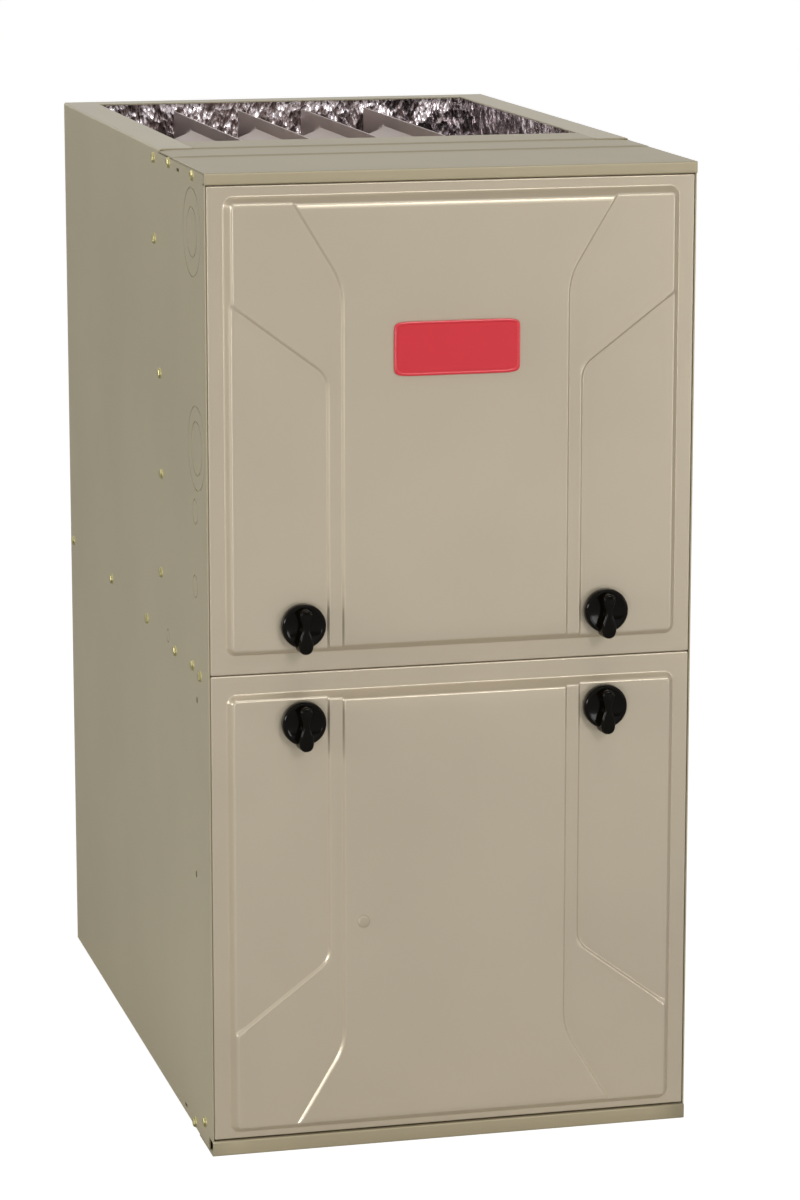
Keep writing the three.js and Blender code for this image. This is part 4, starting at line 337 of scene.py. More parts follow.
def keep_flat(piece):
    """Shades a piece's flat faces flat up to their edges."""
    flat = piece.modifiers.new("flat_faces", "WEIGHTED_NORMAL")
    flat.keep_sharp = True


def cut(piece, points, faces, smooth=35):
    """Takes closed bodies out of a piece and keeps the result as the piece's own mesh."""
    tool = make_object("cutter", points, faces, piece.data.materials[0])
    reworked(tool.data, face_out)
    bpy.context.view_layer.update()
    modifier = piece.modifiers.new("cut", "BOOLEAN")
    modifier.object = tool
    modifier.solver = "EXACT"
    finished = bpy.data.meshes.new_from_object(piece.evaluated_get(bpy.context.evaluated_depsgraph_get()))
    piece.modifiers.clear()
    piece.data = finished
    piece.data.name = piece.name
    bpy.data.objects.remove(tool)
    finished.shade_smooth()
    finished.set_sharp_from_angle(angle=math.radians(smooth))
    keep_flat(piece)


def walled(piece):
    """Gives a sheet its wall, inwards from the modelled face."""
    wall = piece.modifiers.new("wall", "SOLIDIFY")
    wall.thickness = SHEET / 1000
    wall.offset = -1
    wall.use_even_offset = True


def finish_piece(piece, slot, body, *replaced):
    """Puts a piece on its body and hides the CAD nodes it replaces. The slot is not used."""
    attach(piece, body)
    if replaced:
        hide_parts(*replaced)


def folded_wrapper():
    """Carries the wall's profile, bottom flange to top flange, round the plan of left side,
    back and right side. A point of the profile `inset` inside the plan is the plan's point,
    held in the rectangle that is smaller by the inset, so the flanges are mitred."""
    plan = [[-HALF_WIDTH, 0], [-HALF_WIDTH, DEPTH], [HALF_WIDTH, DEPTH], [HALF_WIDTH, 0]]
    profile = [[BOTTOM_FLANGE, 0], [0, 0], [0, HEIGHT], [TOP_FLANGE, HEIGHT]]
    plan, profile = paced(bent(plan, CORNER_BEND, 6), GRID), paced(bent(profile, FLANGE_BEND, 5), GRID)
    inset = profile[None, :, 0]
    x = np.clip(plan[:, None, 0], inset - HALF_WIDTH, HALF_WIDTH - inset)
    y = np.minimum(plan[:, None, 1], DEPTH - inset)
    z = np.broadcast_to(profile[None, :, 1], x.shape)
    points = np.stack([x, y, z], axis=-1)
    return points, grid_faces(*points.shape[:2])


wrapper = make_object("cabinet_wrapper", *folded_wrapper(), side_enamel)
reworked(wrapper.data, weld)
walled(wrapper)

# A knockout is a fine half-sheared ring round a flush disc; two have a smaller one inside.
KNOCKOUTS = [  # y, z and radius
    (55, 830, 39), (43, 640, 37.5), (52, 582, 11), (55, 514, 10), (186, 442, 6), (55, 830, 22), (43, 640, 24),
]
GROOVE_DEPTH = 0.8
GROOVE_HALF = 0.8  # at the wall's face, and half of that at its floor
HOLES = [(63, 247, 3.2), (52, 411, 3.2)]  # y, z and radius
SLOTS = [(116, 878.5), (123, 9)]  # y and z of the middle
SLOT_HALF, SLOT_RADIUS = 4, 1.5
CAP_SEAT, CAP_BACK = 885.1, 205.3  # the cap lies on the cut edge, up to its back
RAIL_SEAT, RAIL_TOP = 16.7, 14.3  # room for the bottom rail's top flange
FOOT_SEAT, FOOT_TOP = 60.3, 1.5  # and for its foot
PAST = 9  # how far a cutter reaches out of the cabinet in front, above and below
CUT_HALF = 240  # and the same from the middle, sideways
cutters = [
    carried(
        [[-PAST, CAP_SEAT], [CAP_BACK, CAP_SEAT], [CAP_BACK, HEIGHT + PAST], [-PAST, HEIGHT + PAST]],
        -CUT_HALF, CUT_HALF,
    ),
    carried(
        [[-PAST, -PAST], [FOOT_SEAT, -PAST], [FOOT_SEAT, FOOT_TOP], [RAIL_SEAT, FOOT_TOP],
         [RAIL_SEAT, RAIL_TOP], [-PAST, RAIL_TOP]],
        -CUT_HALF, CUT_HALF,
    ),
]
for side in (-1, 1):
    face, floor_x, hole_x = (side * (HALF_WIDTH - depth) for depth in (-1, GROOVE_DEPTH, 4))
    through = (min(face, hole_x), max(face, hole_x))
    for y, z in SLOTS:
        ring = circle(16, SLOT_RADIUS)
        ring[:, 0] += np.where(ring[:, 0] > 0, SLOT_HALF, -SLOT_HALF)
        cutters.append(carried([y, z] + ring, *through))
    for y, z, radius in KNOCKOUTS:
        wide, narrow = np.array([-1, 1]) * GROOVE_HALF, np.array([1, -1]) * GROOVE_HALF / 2
        groove = [[face, radius + step] for step in wide] + [[floor_x, radius + step] for step in narrow]
        cutters.append(ringed(y, z, groove[::side], 48))
    for y, z, radius in HOLES:
        cutters.append(carried([y, z] + circle(16, radius), *through))
cut(wrapper, *gathered(cutters))
finish_piece(wrapper, "side_paint", "cabinet", "casing_wrap")

# ---------------------------------------------------------------- front stiles
# Strips folded from the wrapper's sheet behind the doors, on which the doors' edges close
# and to which the deck, the centre rail and the cap are screwed.

STILE_WIDTH = 23
STILE_Y = 17
STILE_RETURN = 9
STILE_FOOT, STILE_TOP = 15, 884.6


def stile(side):
    """An open L-section carried up the cabinet: from the wall inwards and then back."""
    inner = HALF_WIDTH - STILE_WIDTH
    line = [[HALF_WIDTH - SHEET, STILE_Y], [inner, STILE_Y], [inner, STILE_Y + STILE_RETURN]]
    line = bent(line, SHEET_BEND, 4)
    z = np.linspace(STILE_FOOT, STILE_TOP, 9)
    points = np.empty((len(z), len(line), 3))
    points[..., 0] = side * line[:, 0]
    points[..., 1] = line[:, 1]
    points[..., 2] = z[:, None]
    return points, grid_faces(len(z), len(line))[:, ::side]


for name, side in (("front_stile_left", -1), ("front_stile_right", 1)):
    piece = make_object(name, *stile(side), side_enamel)
    walled(piece)
    finish_piece(piece, "side_paint", "cabinet")

# ---------------------------------------------------------------- top cap
# A narrow cover over the front of the cabinet, of the same sheet in a lighter tone. A lip
# hangs in front, two low steps cross its top, and a flange drops into the supply opening.

CAP_TOP = 886.6
CAP_LIP = 10.5
CAP_PROUD = 2
CAP_BEND = 1.6
CAP_STEPS = (141, 205)  # y of the foot of each
STEP_RUN = 3  # from a step's foot to its top
STEP_END = 14  # over which each step runs out towards the sides
OPENING_FRONT = 268
OPENING_HALF = 190.5

cap_enamel = enamel("olive_baked_enamel_cap", "#A0957A", 0.48, 0.25)


def cap_line():
    """The cap's profile in (y, z) from the hem of the lip over both steps to the flange."""
    step = HEIGHT - CAP_TOP
    first, second = CAP_STEPS
    front = [[6, CAP_TOP - CAP_LIP], [-CAP_PROUD, CAP_TOP - CAP_LIP], [-CAP_PROUD, CAP_TOP], [first, CAP_TOP]]
    top = [[first + STEP_RUN, CAP_TOP + step / 2], [second, CAP_TOP + step / 2], [second + STEP_RUN, HEIGHT]]
    back = [[OPENING_FRONT, HEIGHT], [OPENING_FRONT, HEIGHT - 4]]
    return bent(front + top + back, CAP_BEND)


def top_cap():
    """The profile carried across the cabinet; towards each end the steps lose six tenths of
    their height, by the square of the share of STEP_END that is behind."""
    line = cap_line()
    run = np.array([0, 1, 3, 6, 10, STEP_END, 20, 40])
    x = np.concatenate([run - HALF_WIDTH, np.linspace(-160, 160, 9), (HALF_WIDTH - run)[::-1]])
    left = np.clip((STEP_END - (HALF_WIDTH - np.abs(x))) / STEP_END, 0, 1) ** 2
    y = np.broadcast_to(line[:, 0], (len(x), len(line)))
    drop = left[:, None] * np.clip(line[:, 1] - CAP_TOP, 0, None) * 0.6
    z = line[:, 1] - drop
    points = np.stack([np.broadcast_to(x[:, None], y.shape), y, z], axis=-1)
    return points, grid_faces(*points.shape[:2])[:, ::-1]


cap = make_object("top_cap_sheet", *top_cap(), cap_enamel)
walled(cap)
RELIEF_Y, RELIEF_Z, RELIEF_RADIUS = -0.4, CAP_TOP - 1.6, 1.5  # holes at the lip's bent corners
RELIEF_DEPTH = 2.5
NOTCH_FRONT, NOTCH_BACK = 204.7, 300  # beside the opening, where the wrapper's own flange lies
NOTCH_LOW, NOTCH_HIGH = HEIGHT - 29, HEIGHT + 11
NOTCH_GAP = 0.3
relief = [RELIEF_Y, RELIEF_Z] + circle(12, RELIEF_RADIUS)
notch = [
    [NOTCH_FRONT, NOTCH_LOW], [NOTCH_BACK, NOTCH_LOW], [NOTCH_BACK, NOTCH_HIGH], [NOTCH_FRONT, NOTCH_HIGH],
]
cutters = []
for side in (-1, 1):
    cutters.append(carried(notch, side * (OPENING_HALF - NOTCH_GAP), side * CUT_HALF))
    cutters.append(carried(relief, side * (HALF_WIDTH - RELIEF_DEPTH), side * CUT_HALF))
cut(cap, *gathered(cutters))
finish_piece(cap, "cap_paint", "cabinet", "top_cap")

# ---------------------------------------------------------------- bottom rail
# A channel folded from the same sheet across the foot of the front; the lower door stands
# just over it.

RAIL_HEIGHT = 14
RAIL_PROUD = 1.5
RAIL_FLANGE = 16.4
RAIL_FOOT = 60


def bottom_rail():
    """A U-profile in (y, z) carried across the cabinet: foot, face and top flange."""
    face = [[RAIL_FOOT, 0], [-RAIL_PROUD, 0], [-RAIL_PROUD, RAIL_HEIGHT], [RAIL_FLANGE, RAIL_HEIGHT]]
    line = bent(face, SHEET_BEND)
    x = np.linspace(-HALF_WIDTH, HALF_WIDTH, 12)
    points = np.empty((len(x), len(line), 3))
    points[..., 0] = x[:, None]
    points[..., 1:] = line
    return points, grid_faces(len(x), len(line))[:, ::-1]


rail = make_object("bottom_rail_sheet", *bottom_rail(), cap_enamel)
walled(rail)
finish_piece(rail, "door_paint", "cabinet", "bottom_rail")

# ---------------------------------------------------------------- doors
# Pressed steel doors in pewter enamel. A rounded frame is pressed out in three steps: wings
# beside the knobs, a narrow band, and a middle field that flares at the far end. The edges
# are folded back.

DOOR_HALF = 220.9
DOOR_FRAME = 14.9  # flat border at the sides
SEAM_FRAME = 17.5  # flat border at the seam
DOOR_RETURN = 16
EDGE_BEND = 1.4
FRAME_CORNER = 9
WING, BAND, FIELD = 7, 9.5, 12  # how far the terraces stand out
BAND_HALF, FIELD_HALF = 115, 102
BAND_BEND, BAND_FLARE = 157, 93  # where its flare starts and ends, from the frame's far end
BAND_MARGIN = 5.9  # from the frame's side to the end of the flare
FIELD_BEND, FIELD_FLARE = 77, 144  # where its flare starts, and its half width at the end
FIELD_MARGIN = 7.6  # from the frame's far end
SLOPE = 0.6  # run of a pressed wall for each millimetre of rise
WALL_BEFORE, WALL_AFTER = 1.9, 6.6  # stretch round the frame's edge that needs fine rows

door_enamel = enamel("pewter_baked_enamel", "#B9AD98", 0.3, 0.3)


def smooth_min(a, b, reach):
    """The lower of two values, with a parabola where they differ by less than `reach`."""
    near = np.clip(reach - np.abs(a - b), 0, None) / reach
    return np.minimum(a, b) - near ** 2 * reach / 4


def smooth_max(a, b, reach):
    """The higher of two values, blended in the same way."""
    return -smooth_min(-a, -b, reach)


def pressed_rise(x, v, end):
    """How far the pressing stands out at x and at v from the seam edge. Each wall rises in
    proportion to the distance inside its outline; a terrace's outline is the union, by a
    smooth maximum, of a vertical half plane and the half plane past its diagonal. The whole
    is no higher than the frame's own wall, taken from a rectangle with rounded corners."""
    x = np.abs(x)
    side, radius = DOOR_HALF - DOOR_FRAME, FRAME_CORNER
    middle, half = (SEAM_FRAME + end) / 2, (end - SEAM_FRAME) / 2
    qx, qv = x - side + radius, np.abs(v - middle) - half + radius
    outside = np.hypot(np.clip(qx, 0, None), np.clip(qv, 0, None)) + np.minimum(np.maximum(qx, qv), 0)
    frame_wall = (radius - outside) / SLOPE

    def terrace(half_width, bend, far_x, far_v, rise):
        run, climb = far_x - half_width, far_v - (end - bend)
        past = ((v - end + bend) * run - (x - half_width) * climb) / math.hypot(run, climb)
        inside = smooth_max(half_width - x, past, FRAME_CORNER) + SLOPE * rise
        share = smooth_max(smooth_min(inside / (SLOPE * rise), 1, 0.6), 0, 0.25)
        return rise * share

    height = WING + terrace(BAND_HALF, BAND_BEND, side - BAND_MARGIN, end - BAND_FLARE, BAND - WING)
    height = height + terrace(FIELD_HALF, FIELD_BEND, FIELD_FLARE, end - FIELD_MARGIN, FIELD - BAND)
    return smooth_max(smooth_min(frame_wall, height, 2.6), 0, 1.2)


def wall_columns(v, end):
    """|x| of the grid's columns at v: close together across each pressed wall, whose place
    follows its outline, and further apart between them. Past its bend a wall leans out by
    `lean` for each millimetre of v, and is wider across by the length of that diagonal."""
    side = DOOR_HALF - DOOR_FRAME

    def wall(half_width, bend, lean):
        past = v - (end - bend)
        place = half_width + lean * smooth_max(past, 0, 14)
        return place, 1 + (math.hypot(1, lean) - 1) * np.clip(past / 12 + 0.5, 0, 1)

    field, wide_field = wall(FIELD_HALF, FIELD_BEND, (FIELD_FLARE - FIELD_HALF) / (FIELD_BEND - FIELD_MARGIN))
    band, wide_band = wall(BAND_HALF, BAND_BEND, (side - BAND_MARGIN - BAND_HALF) / (BAND_BEND - BAND_FLARE))
    across = np.linspace(-1.5, 3.0, 14)
    room = 3.4  # that a wall's columns need at its outer side
    band = np.minimum(band, side - 8 - room * wide_band)
    field = np.minimum(field, band - room * wide_field - 3)
    near_field = field[:, None] + across * wide_field[:, None]
    near_band = band[:, None] + across * wide_band[:, None]
    between = near_field[:, -1:] + (near_band[:, :1] - near_field[:, -1:]) * np.array([0.25, 0.5, 0.75])
    middle = near_field[:, :1] * np.linspace(0, 1, 14)[:-1]
    rim = side + np.linspace(-WALL_AFTER, WALL_BEFORE, 22)
    outer = near_band[:, -1:] + (rim[0] - near_band[:, -1:]) * np.array([0.2, 0.4, 0.6, 0.8])
    rim = np.broadcast_to(rim, (len(v), len(rim)))
    return np.hstack([middle, near_field, between, near_band, outer, rim])


def door_rows(height, frame_end):
    """Distances from the seam edge of the grid's rows: close at both borders and bends."""
    end = height - frame_end
    parts = [
        np.linspace(EDGE_BEND, SEAM_FRAME - 3, 4),
        np.linspace(SEAM_FRAME - WALL_BEFORE, SEAM_FRAME + WALL_AFTER, 22),
        np.linspace(SEAM_FRAME + 8, end - BAND_BEND - 16, 20),
        np.linspace(end - BAND_BEND - 14, end - BAND_BEND + 14, 20),
        np.linspace(end - BAND_BEND + 17, end - BAND_FLARE - 15, 10),
        np.linspace(end - BAND_FLARE - 13, end - FIELD_BEND + 14, 28),
        np.linspace(end - FIELD_BEND + 17, end - 8, 15),
        np.linspace(end - WALL_AFTER, end + WALL_BEFORE, 22),
        np.linspace(end + 2.7, height - EDGE_BEND, 3),
    ]
    return np.concatenate(parts), end


def door_sheet(seam_edge, up, height, frame_end):
    """The pressed face as a height field over (x, v) and, past its border, the folded edge:
    ring q of the fold is the face's border moved out by bend * sin(angle) and back by
    bend * (1 - cos(angle)), then straight back; at a corner the ring turns through 90
    degrees about the border's corner."""
    v, end = door_rows(height, frame_end)
    half = wall_columns(v, end)
    half = np.hstack([half, np.full((len(v), 1), DOOR_HALF - EDGE_BEND)])
    x = np.hstack([-half[:, :0:-1], half])
    face = np.stack([x, -pressed_rise(x, v[:, None], end), np.broadcast_to(v[:, None], x.shape)], axis=-1)

    angle = np.linspace(0, math.pi / 2, 6)[1:]
    out = np.concatenate([[0], EDGE_BEND * np.sin(angle), [EDGE_BEND] * 3])
    back = np.concatenate([[0], EDGE_BEND * (1 - np.cos(angle)), [6, 11, DOOR_RETURN]])
    rings = len(out) - 1
    rows, columns = x.shape
    sheet = np.empty((rows + 2 * rings, columns + 2 * rings, 3))
    i, j = np.meshgrid(np.arange(rows + 2 * rings), np.arange(columns + 2 * rings), indexing="ij")
    over_v = np.where(i < rings, rings - i, np.clip(i - rings - rows + 1, 0, None))
    over_x = np.where(j < rings, rings - j, np.clip(j - rings - columns + 1, 0, None))
    ring = np.maximum(over_v, over_x)
    turn = np.where(over_x >= over_v, over_v, 2 * ring - over_x) / np.maximum(2 * ring, 1) * math.pi / 2
    base = face[np.clip(i - rings, 0, rows - 1), np.clip(j - rings, 0, columns - 1)]
    sign_x = np.sign(j - (columns + 2 * rings - 1) / 2)
    sign_v = np.where(i < rings, -1, 1)
    sheet[..., 0] = base[..., 0] + sign_x * out[ring] * np.cos(turn) * (over_x > 0)
    sheet[..., 2] = base[..., 2] + sign_v * out[ring] * np.sin(turn) * (over_v > 0)
    sheet[..., 1] = base[..., 1] + back[ring]
    only_v = (over_x == 0) & (over_v > 0)
    sheet[..., 2] = np.where(only_v, base[..., 2] + sign_v * out[ring], sheet[..., 2])
    sheet[..., 2] = seam_edge + up * sheet[..., 2]
    return sheet, grid_faces(*sheet.shape[:2])[:, ::up]


# z of the edge at the seam, height of the door, and its flat border at the far end
UPPER_EDGE, UPPER_HEIGHT, UPPER_END = 443.6, 431.9, 9.8
LOWER_EDGE, LOWER_HEIGHT, LOWER_END = 443.0, 427.8, 6.4
SEAM = (UPPER_EDGE + LOWER_EDGE) / 2
KNOB_X = 139
KNOB_FROM_SEAM = 44
SHAFT_HOLE = 6.5
SIGHT_X, SIGHT_Z = -85, SEAM - 229.5
SIGHT_HOLE = 4.2
HOLE_POINTS = 20


def round_hole(x, z, radius):
    """A cylinder along y through the door at (x, z)."""
    ring = np.insert([x, z] + circle(HOLE_POINTS, radius), 1, 0, axis=1)
    points = np.concatenate([ring - [0, FIELD + 2, 0], ring + [0, DOOR_RETURN + 4, 0]])
    ends = [list(range(HOLE_POINTS)), list(range(HOLE_POINTS, 2 * HOLE_POINTS))[::-1]]
    return points, grid_faces(2, HOLE_POINTS, wrap_columns=True).tolist() + ends


for name, edge, up, height, frame_end, holes in (
    ("upper_door", UPPER_EDGE, 1, UPPER_HEIGHT, UPPER_END, []),
    ("lower_door", LOWER_EDGE, -1, LOWER_HEIGHT, LOWER_END, [(SIGHT_X, SIGHT_Z, SIGHT_HOLE)]),
):
    door = make_object(name + "_sheet", *door_sheet(edge, up, height, frame_end), door_enamel, 50)
    walled(door)
    knob_z = SEAM + up * KNOB_FROM_SEAM
    holes = [(-KNOB_X, knob_z, SHAFT_HOLE), (KNOB_X, knob_z, SHAFT_HOLE), *holes]
    cut(door, *gathered([round_hole(*hole) for hole in holes]), 50)
    finish_piece(door, "door_paint", name, name)

# ---------------------------------------------------------------- badge plate
# A plain plate moulded in red ABS with a raised rim, stuck to the middle field of the upper
# door. It carries no words or marks.

BADGE_HALF_WIDTH, BADGE_HALF_HEIGHT = 57, 24
BADGE_FROM_SEAM = 287
BADGE_SQUARENESS = 12
BADGE_STEPS = [  # inset from the outline, and y from the door's field
    (0, -0.3), (0, -1.9), (0.25, -2.4), (0.8, -2.7), (1.9, -2.7), (2.4, -2.5), (2.7, -2.2), (12, -2.2),
]


def smooth_plastic(name, colour, roughness, grain, strength):
    """A smooth plastic moulding: one colour and an even gloss, which a slight grain of the
    given size in millimetres makes a little uneven."""
    material, tree, shader = new_material(name)
    place = add_node(tree, "ShaderNodeTexCoord").outputs["Object"]
    fine = {"Vector": place, "Scale": 1000 / grain, "Detail": 1.0}
    grains = add_node(tree, "ShaderNodeTexNoise", None, fine)
    bump = add_node(
        tree, "ShaderNodeBump", None,
        {"Height": grains.outputs["Fac"], "Strength": strength, "Distance": 0.0002},
    )
    tree.links.new(bump.outputs[0], shader.inputs["Normal"])
    shader.inputs["Base Color"].default_value = linear(colour)
    shader.inputs["Roughness"].default_value = roughness
    shader.inputs["IOR"].default_value = 1.53
    return material


def badge_plate():
    """Rings of one rounded rectangle, each at its own inset and depth: up the edge, over the
    rim, down to the sunk face and in to the middle. The outline is a superellipse: half
    width and half height times a power of 2 / squareness of the angle's cosine and sine."""
    inset, depth = np.array(BADGE_STEPS)[:, :, None].transpose(1, 0, 2)
    rows, columns = len(BADGE_STEPS), 96
    c, s = circle(columns, 1).T
    x = (BADGE_HALF_WIDTH - inset) * np.sign(c) * np.abs(c) ** (2 / BADGE_SQUARENESS)
    z = (BADGE_HALF_HEIGHT - inset) * np.sign(s) * np.abs(s) ** (2 / BADGE_SQUARENESS)
    y = np.broadcast_to(depth - FIELD, x.shape)
    points = np.stack([x, y, SEAM + BADGE_FROM_SEAM + z], axis=-1)
    faces = grid_faces(rows, columns, wrap_columns=True).tolist()
    return points, faces + [list(range(columns))[::-1], list(range((rows - 1) * columns, rows * columns))]


# Moulded ABS: a deep even red with a clear gloss.
red_abs = smooth_plastic("gloss_red_abs", "#CE2330", 0.28, 1 / 1.4, 0.05)
badge = make_object("badge_plate_moulding", *badge_plate(), red_abs, 30)
finish_piece(badge, "badge_plastic", "upper_door", "badge_plate")

# ---------------------------------------------------------------- sight plug
# A small plug in the field of the lower door, over the hole through which the control
# board's lamp is seen. It is moulded in the door's own colour.

PLUG_PROFILE = [  # radius, and y from the door's field, from the barbed rear end to the head
    (0, 5.6), (3.4, 5.6), (4.1, 3.9), (3.6, 3.4), (3.9, 2.4), (4.0, -0.1), (5.8, -0.1), (5.7, -0.4),
    (5.3, -0.8), (4.6, -1.2), (3.2, -1.5), (0, -1.6),
]


def turned(x, z, profile, sides):
    """A profile of (radius, y) pairs turned about the line through (x, z) along y, from a
    pole at its first point to a pole at its last: the pairs' radii times a circle."""
    profile = np.asarray(profile, float)
    radius, y = profile[1:-1, 0], profile[1:-1, 1]
    rings = np.empty((len(radius), sides, 3))
    rings[..., 0::2] = [x, z] + radius[:, None, None] * circle(sides, 1)
    rings[..., 1] = y[:, None]
    first, last = len(radius) * sides, len(radius) * sides + 1
    points = np.vstack([rings.reshape(-1, 3), [[x, profile[0, 1], z], [x, profile[-1, 1], z]]])
    here = np.arange(sides)
    after = (here + 1) % sides
    top = (len(radius) - 1) * sides
    front = np.stack([np.full(sides, first), after, here], axis=-1).tolist()
    rear = np.stack([np.full(sides, last), top + here, top + after], axis=-1).tolist()
    body = grid_faces(len(radius), sides, wrap_columns=True).tolist()
    return points, front + body + rear


# Moulded nylon: waxy, half matt and close to the enamel's tone.
tan_nylon = smooth_plastic("moulded_tan_nylon", "#A89C86", 0.4, 1 / 1.8, 0.1)
plug_profile = np.array(PLUG_PROFILE) - [0, FIELD]
plug = make_object("sight_plug_moulding", *turned(SIGHT_X, SIGHT_Z, plug_profile, 32), tan_nylon)
finish_piece(plug, "sight_plug", "lower_door", "sight_glass")

# ---------------------------------------------------------------- knobs
# Four quarter-turn knobs moulded in glossy black ABS: a round disc with a bevelled rim and a
# waisted grip whose tail stands out past the rim. A shaft goes through the door to the cam.

GRIP_MIDDLE, GRIP_HALF = -3.6, 21.1  # height of its middle over the shaft, and half its length
GRIP_WIDTH = 7.7  # half of it, beside the waist
WAIST_HEIGHT, WAIST_REACH, WAIST_SHARE = 0.5, 8.5, 0.45
GRIP_FOOT, GRIP_DRAFT, GRIP_ROUND, GRIP_FRONT = -10.2, 0.8, 2.4, -21.5
GRIP_POINTS = 64
KNOB_PROFILE = [  # radius and y: the disc's front, its bevelled rim, its back and the shaft
    (0, -15.8), (15.2, -15.8), (16.0, -16.1), (17.2, -16.4), (18.6, -16.2), (19.5, -15.3), (19.9, -14.0),
    (20, -8.6), (19.6, -7.6), (6.4, -7.6), (6.2, -6.6), (5.5, -6.6), (5.5, 18.0), (5.0, 18.9), (0, 18.9),
]

# Polished ABS: near black, with sharp reflections that finger marks 6 mm wide soften a little.
black_abs, tree, shader = new_material("gloss_black_abs")
place = add_node(tree, "ShaderNodeTexCoord").outputs["Object"]
smear = add_node(tree, "ShaderNodeTexNoise", None, {"Vector": place, "Scale": 1000 / 6.25, "Detail": 3.0})
vary(shader, smear.outputs["Fac"], (0.3, 0.7), gloss=(0.06, 0.12))
shader.inputs["Base Color"].default_value = linear("#0A0703")
shader.inputs["Specular IOR Level"].default_value = 0.09
shader.inputs["IOR"].default_value = 1.53


def knob_grip(x, z):
    """A closed outline whose half width grows from the waist towards both ends, by a bell
    curve, and is closed there by a blunt curve, stacked in rings from the disc to the front;
    the rings shrink by the draft and then round over by a quarter ellipse."""
    cosine, sine = circle(GRIP_POINTS, 1).T
    height = GRIP_MIDDLE - GRIP_HALF * cosine
    waist = GRIP_WIDTH * (1 - WAIST_SHARE * np.exp(-((height - WAIST_HEIGHT) / WAIST_REACH) ** 2))
    half = waist * np.clip(1 - np.abs(cosine) ** 6, 0, 1) ** 0.5
    outline = np.stack([half * np.sign(sine), height], axis=-1)
    tangent = np.roll(outline, -1, axis=0) - np.roll(outline, 1, axis=0)
    normal = np.stack([-tangent[:, 1], tangent[:, 0]], axis=-1)
    normal = normal / np.linalg.norm(normal, axis=1, keepdims=True)
    normal = normal * np.sign(np.sum(normal * (outline - [0, GRIP_MIDDLE]), axis=1, keepdims=True))
    angle = np.linspace(0, math.pi / 2, 6)
    inset = np.concatenate([[0, 0.3], GRIP_DRAFT + 2.0 * (1 - np.cos(angle))])
    y = np.concatenate([[GRIP_FOOT, -15], GRIP_FRONT - GRIP_ROUND * np.sin(angle)])
    shape = outline[None] - normal[None] * inset[:, None, None]
    points = np.empty((len(y), GRIP_POINTS, 3))
    points[..., 0::2] = [x, z] + shape
    points[..., 1] = y[:, None]
    faces = grid_faces(len(y), GRIP_POINTS, wrap_columns=True).tolist()
    front = range((len(y) - 1) * GRIP_POINTS, len(y) * GRIP_POINTS)
    return points, faces + [list(range(GRIP_POINTS))[::-1], list(front)]


for row, knob_z in (("upper", SEAM + KNOB_FROM_SEAM), ("lower", SEAM - KNOB_FROM_SEAM)):
    for side, knob_x in (("left", -KNOB_X), ("right", KNOB_X)):
        knob = make_object(
            f"knob_moulding_{row}_{side}",
            *gathered([turned(knob_x, knob_z, KNOB_PROFILE, 64), knob_grip(knob_x, knob_z)]),
            black_abs,
        )
        reworked(knob.data, face_out)
        finish_piece(knob, "knob_plastic", f"{row}_{side}_knob", f"knob_{row}_{side}")

# ---------------------------------------------------------------- screws
# Sheet-metal screws with hexagonal washer heads, zinc plated and yellow passivated, hold the
# sides to the deck, the rail, the cell panel and the cap. They stand 2.3 mm out of the sheet.

HEAD_FLAT = 3.9  # half the width over the hexagon's flats
HEAD_HEIGHTS = [-0.2, 0.45, 0.75, 0.8, 1.9, 2.3, 1.9]
HEAD_POINTS = 12
SIDE_SCREWS = [  # y and z
    (229, 879), (157, 881), (50, 880), (229, 805), (210, 683), (207, 590), (215, 496),
    (477, 439), (700, 436), (289, 437), (151, 435), (70, 439), (36, 436), (80, 6.5), (33, 22),
]

# Passivated zinc: yellowish metal whose gloss is blotched over 2 mm.
zinc_plate, tree, shader = new_material("zinc_plated_steel")
place = add_node(tree, "ShaderNodeTexCoord").outputs["Object"]
dull = add_node(tree, "ShaderNodeTexNoise", None, {"Vector": place, "Scale": 1000 / 2, "Detail": 3.0})
vary(shader, dull.outputs["Fac"], (0.3, 0.7), gloss=(0.28, 0.45))
shader.inputs["Base Color"].default_value = linear("#B4AC7E")
shader.inputs["Metallic"].default_value = 1.0


def screw_heads(places, side):
    """Screw heads on a side wall: rings of twelve points, round at the washer and a hexagon
    above it, where the radius is the flat's distance over the cosine of the angle from the
    flat's middle; every head is the same rings moved to its place and turned by its index."""
    places = np.asarray(places, float)
    turn = np.arange(len(places))[:, None, None] * 0.7
    spread = np.arange(HEAD_POINTS) * 2 * np.pi / HEAD_POINTS
    hexagon = HEAD_FLAT / np.cos((spread + np.pi / 6) % (np.pi / 3) - np.pi / 6)
    washer = np.ones(HEAD_POINTS)
    radius = np.stack([
        washer * 5.4, washer * 5.2, washer * 4.7, hexagon, hexagon * 0.98, hexagon * 0.86, hexagon * 0.4,
    ])
    rings = len(HEAD_HEIGHTS)
    points = np.empty((len(places), rings, HEAD_POINTS, 3))
    points[..., 0] = side * (HALF_WIDTH + np.array(HEAD_HEIGHTS)[:, None])
    points[..., 1] = places[:, 0, None, None] + radius * np.cos(spread + turn)
    points[..., 2] = places[:, 1, None, None] + radius * np.sin(spread + turn)
    start = np.arange(len(places))[:, None] * rings * HEAD_POINTS
    faces = grid_faces(rings, HEAD_POINTS, wrap_columns=True) + start[..., None]
    base = start + np.arange(HEAD_POINTS)
    crown = base + (rings - 1) * HEAD_POINTS
    return points, faces.reshape(-1, 4).tolist() + base.tolist() + crown.tolist()


for name, side in (("screws_left", -1), ("screws_right", 1)):
    screws = make_object(name, *screw_heads(SIDE_SCREWS, side), zinc_plate)
    reworked(screws.data, face_out)
    finish_piece(screws, "galvanised_sheet", "cabinet")

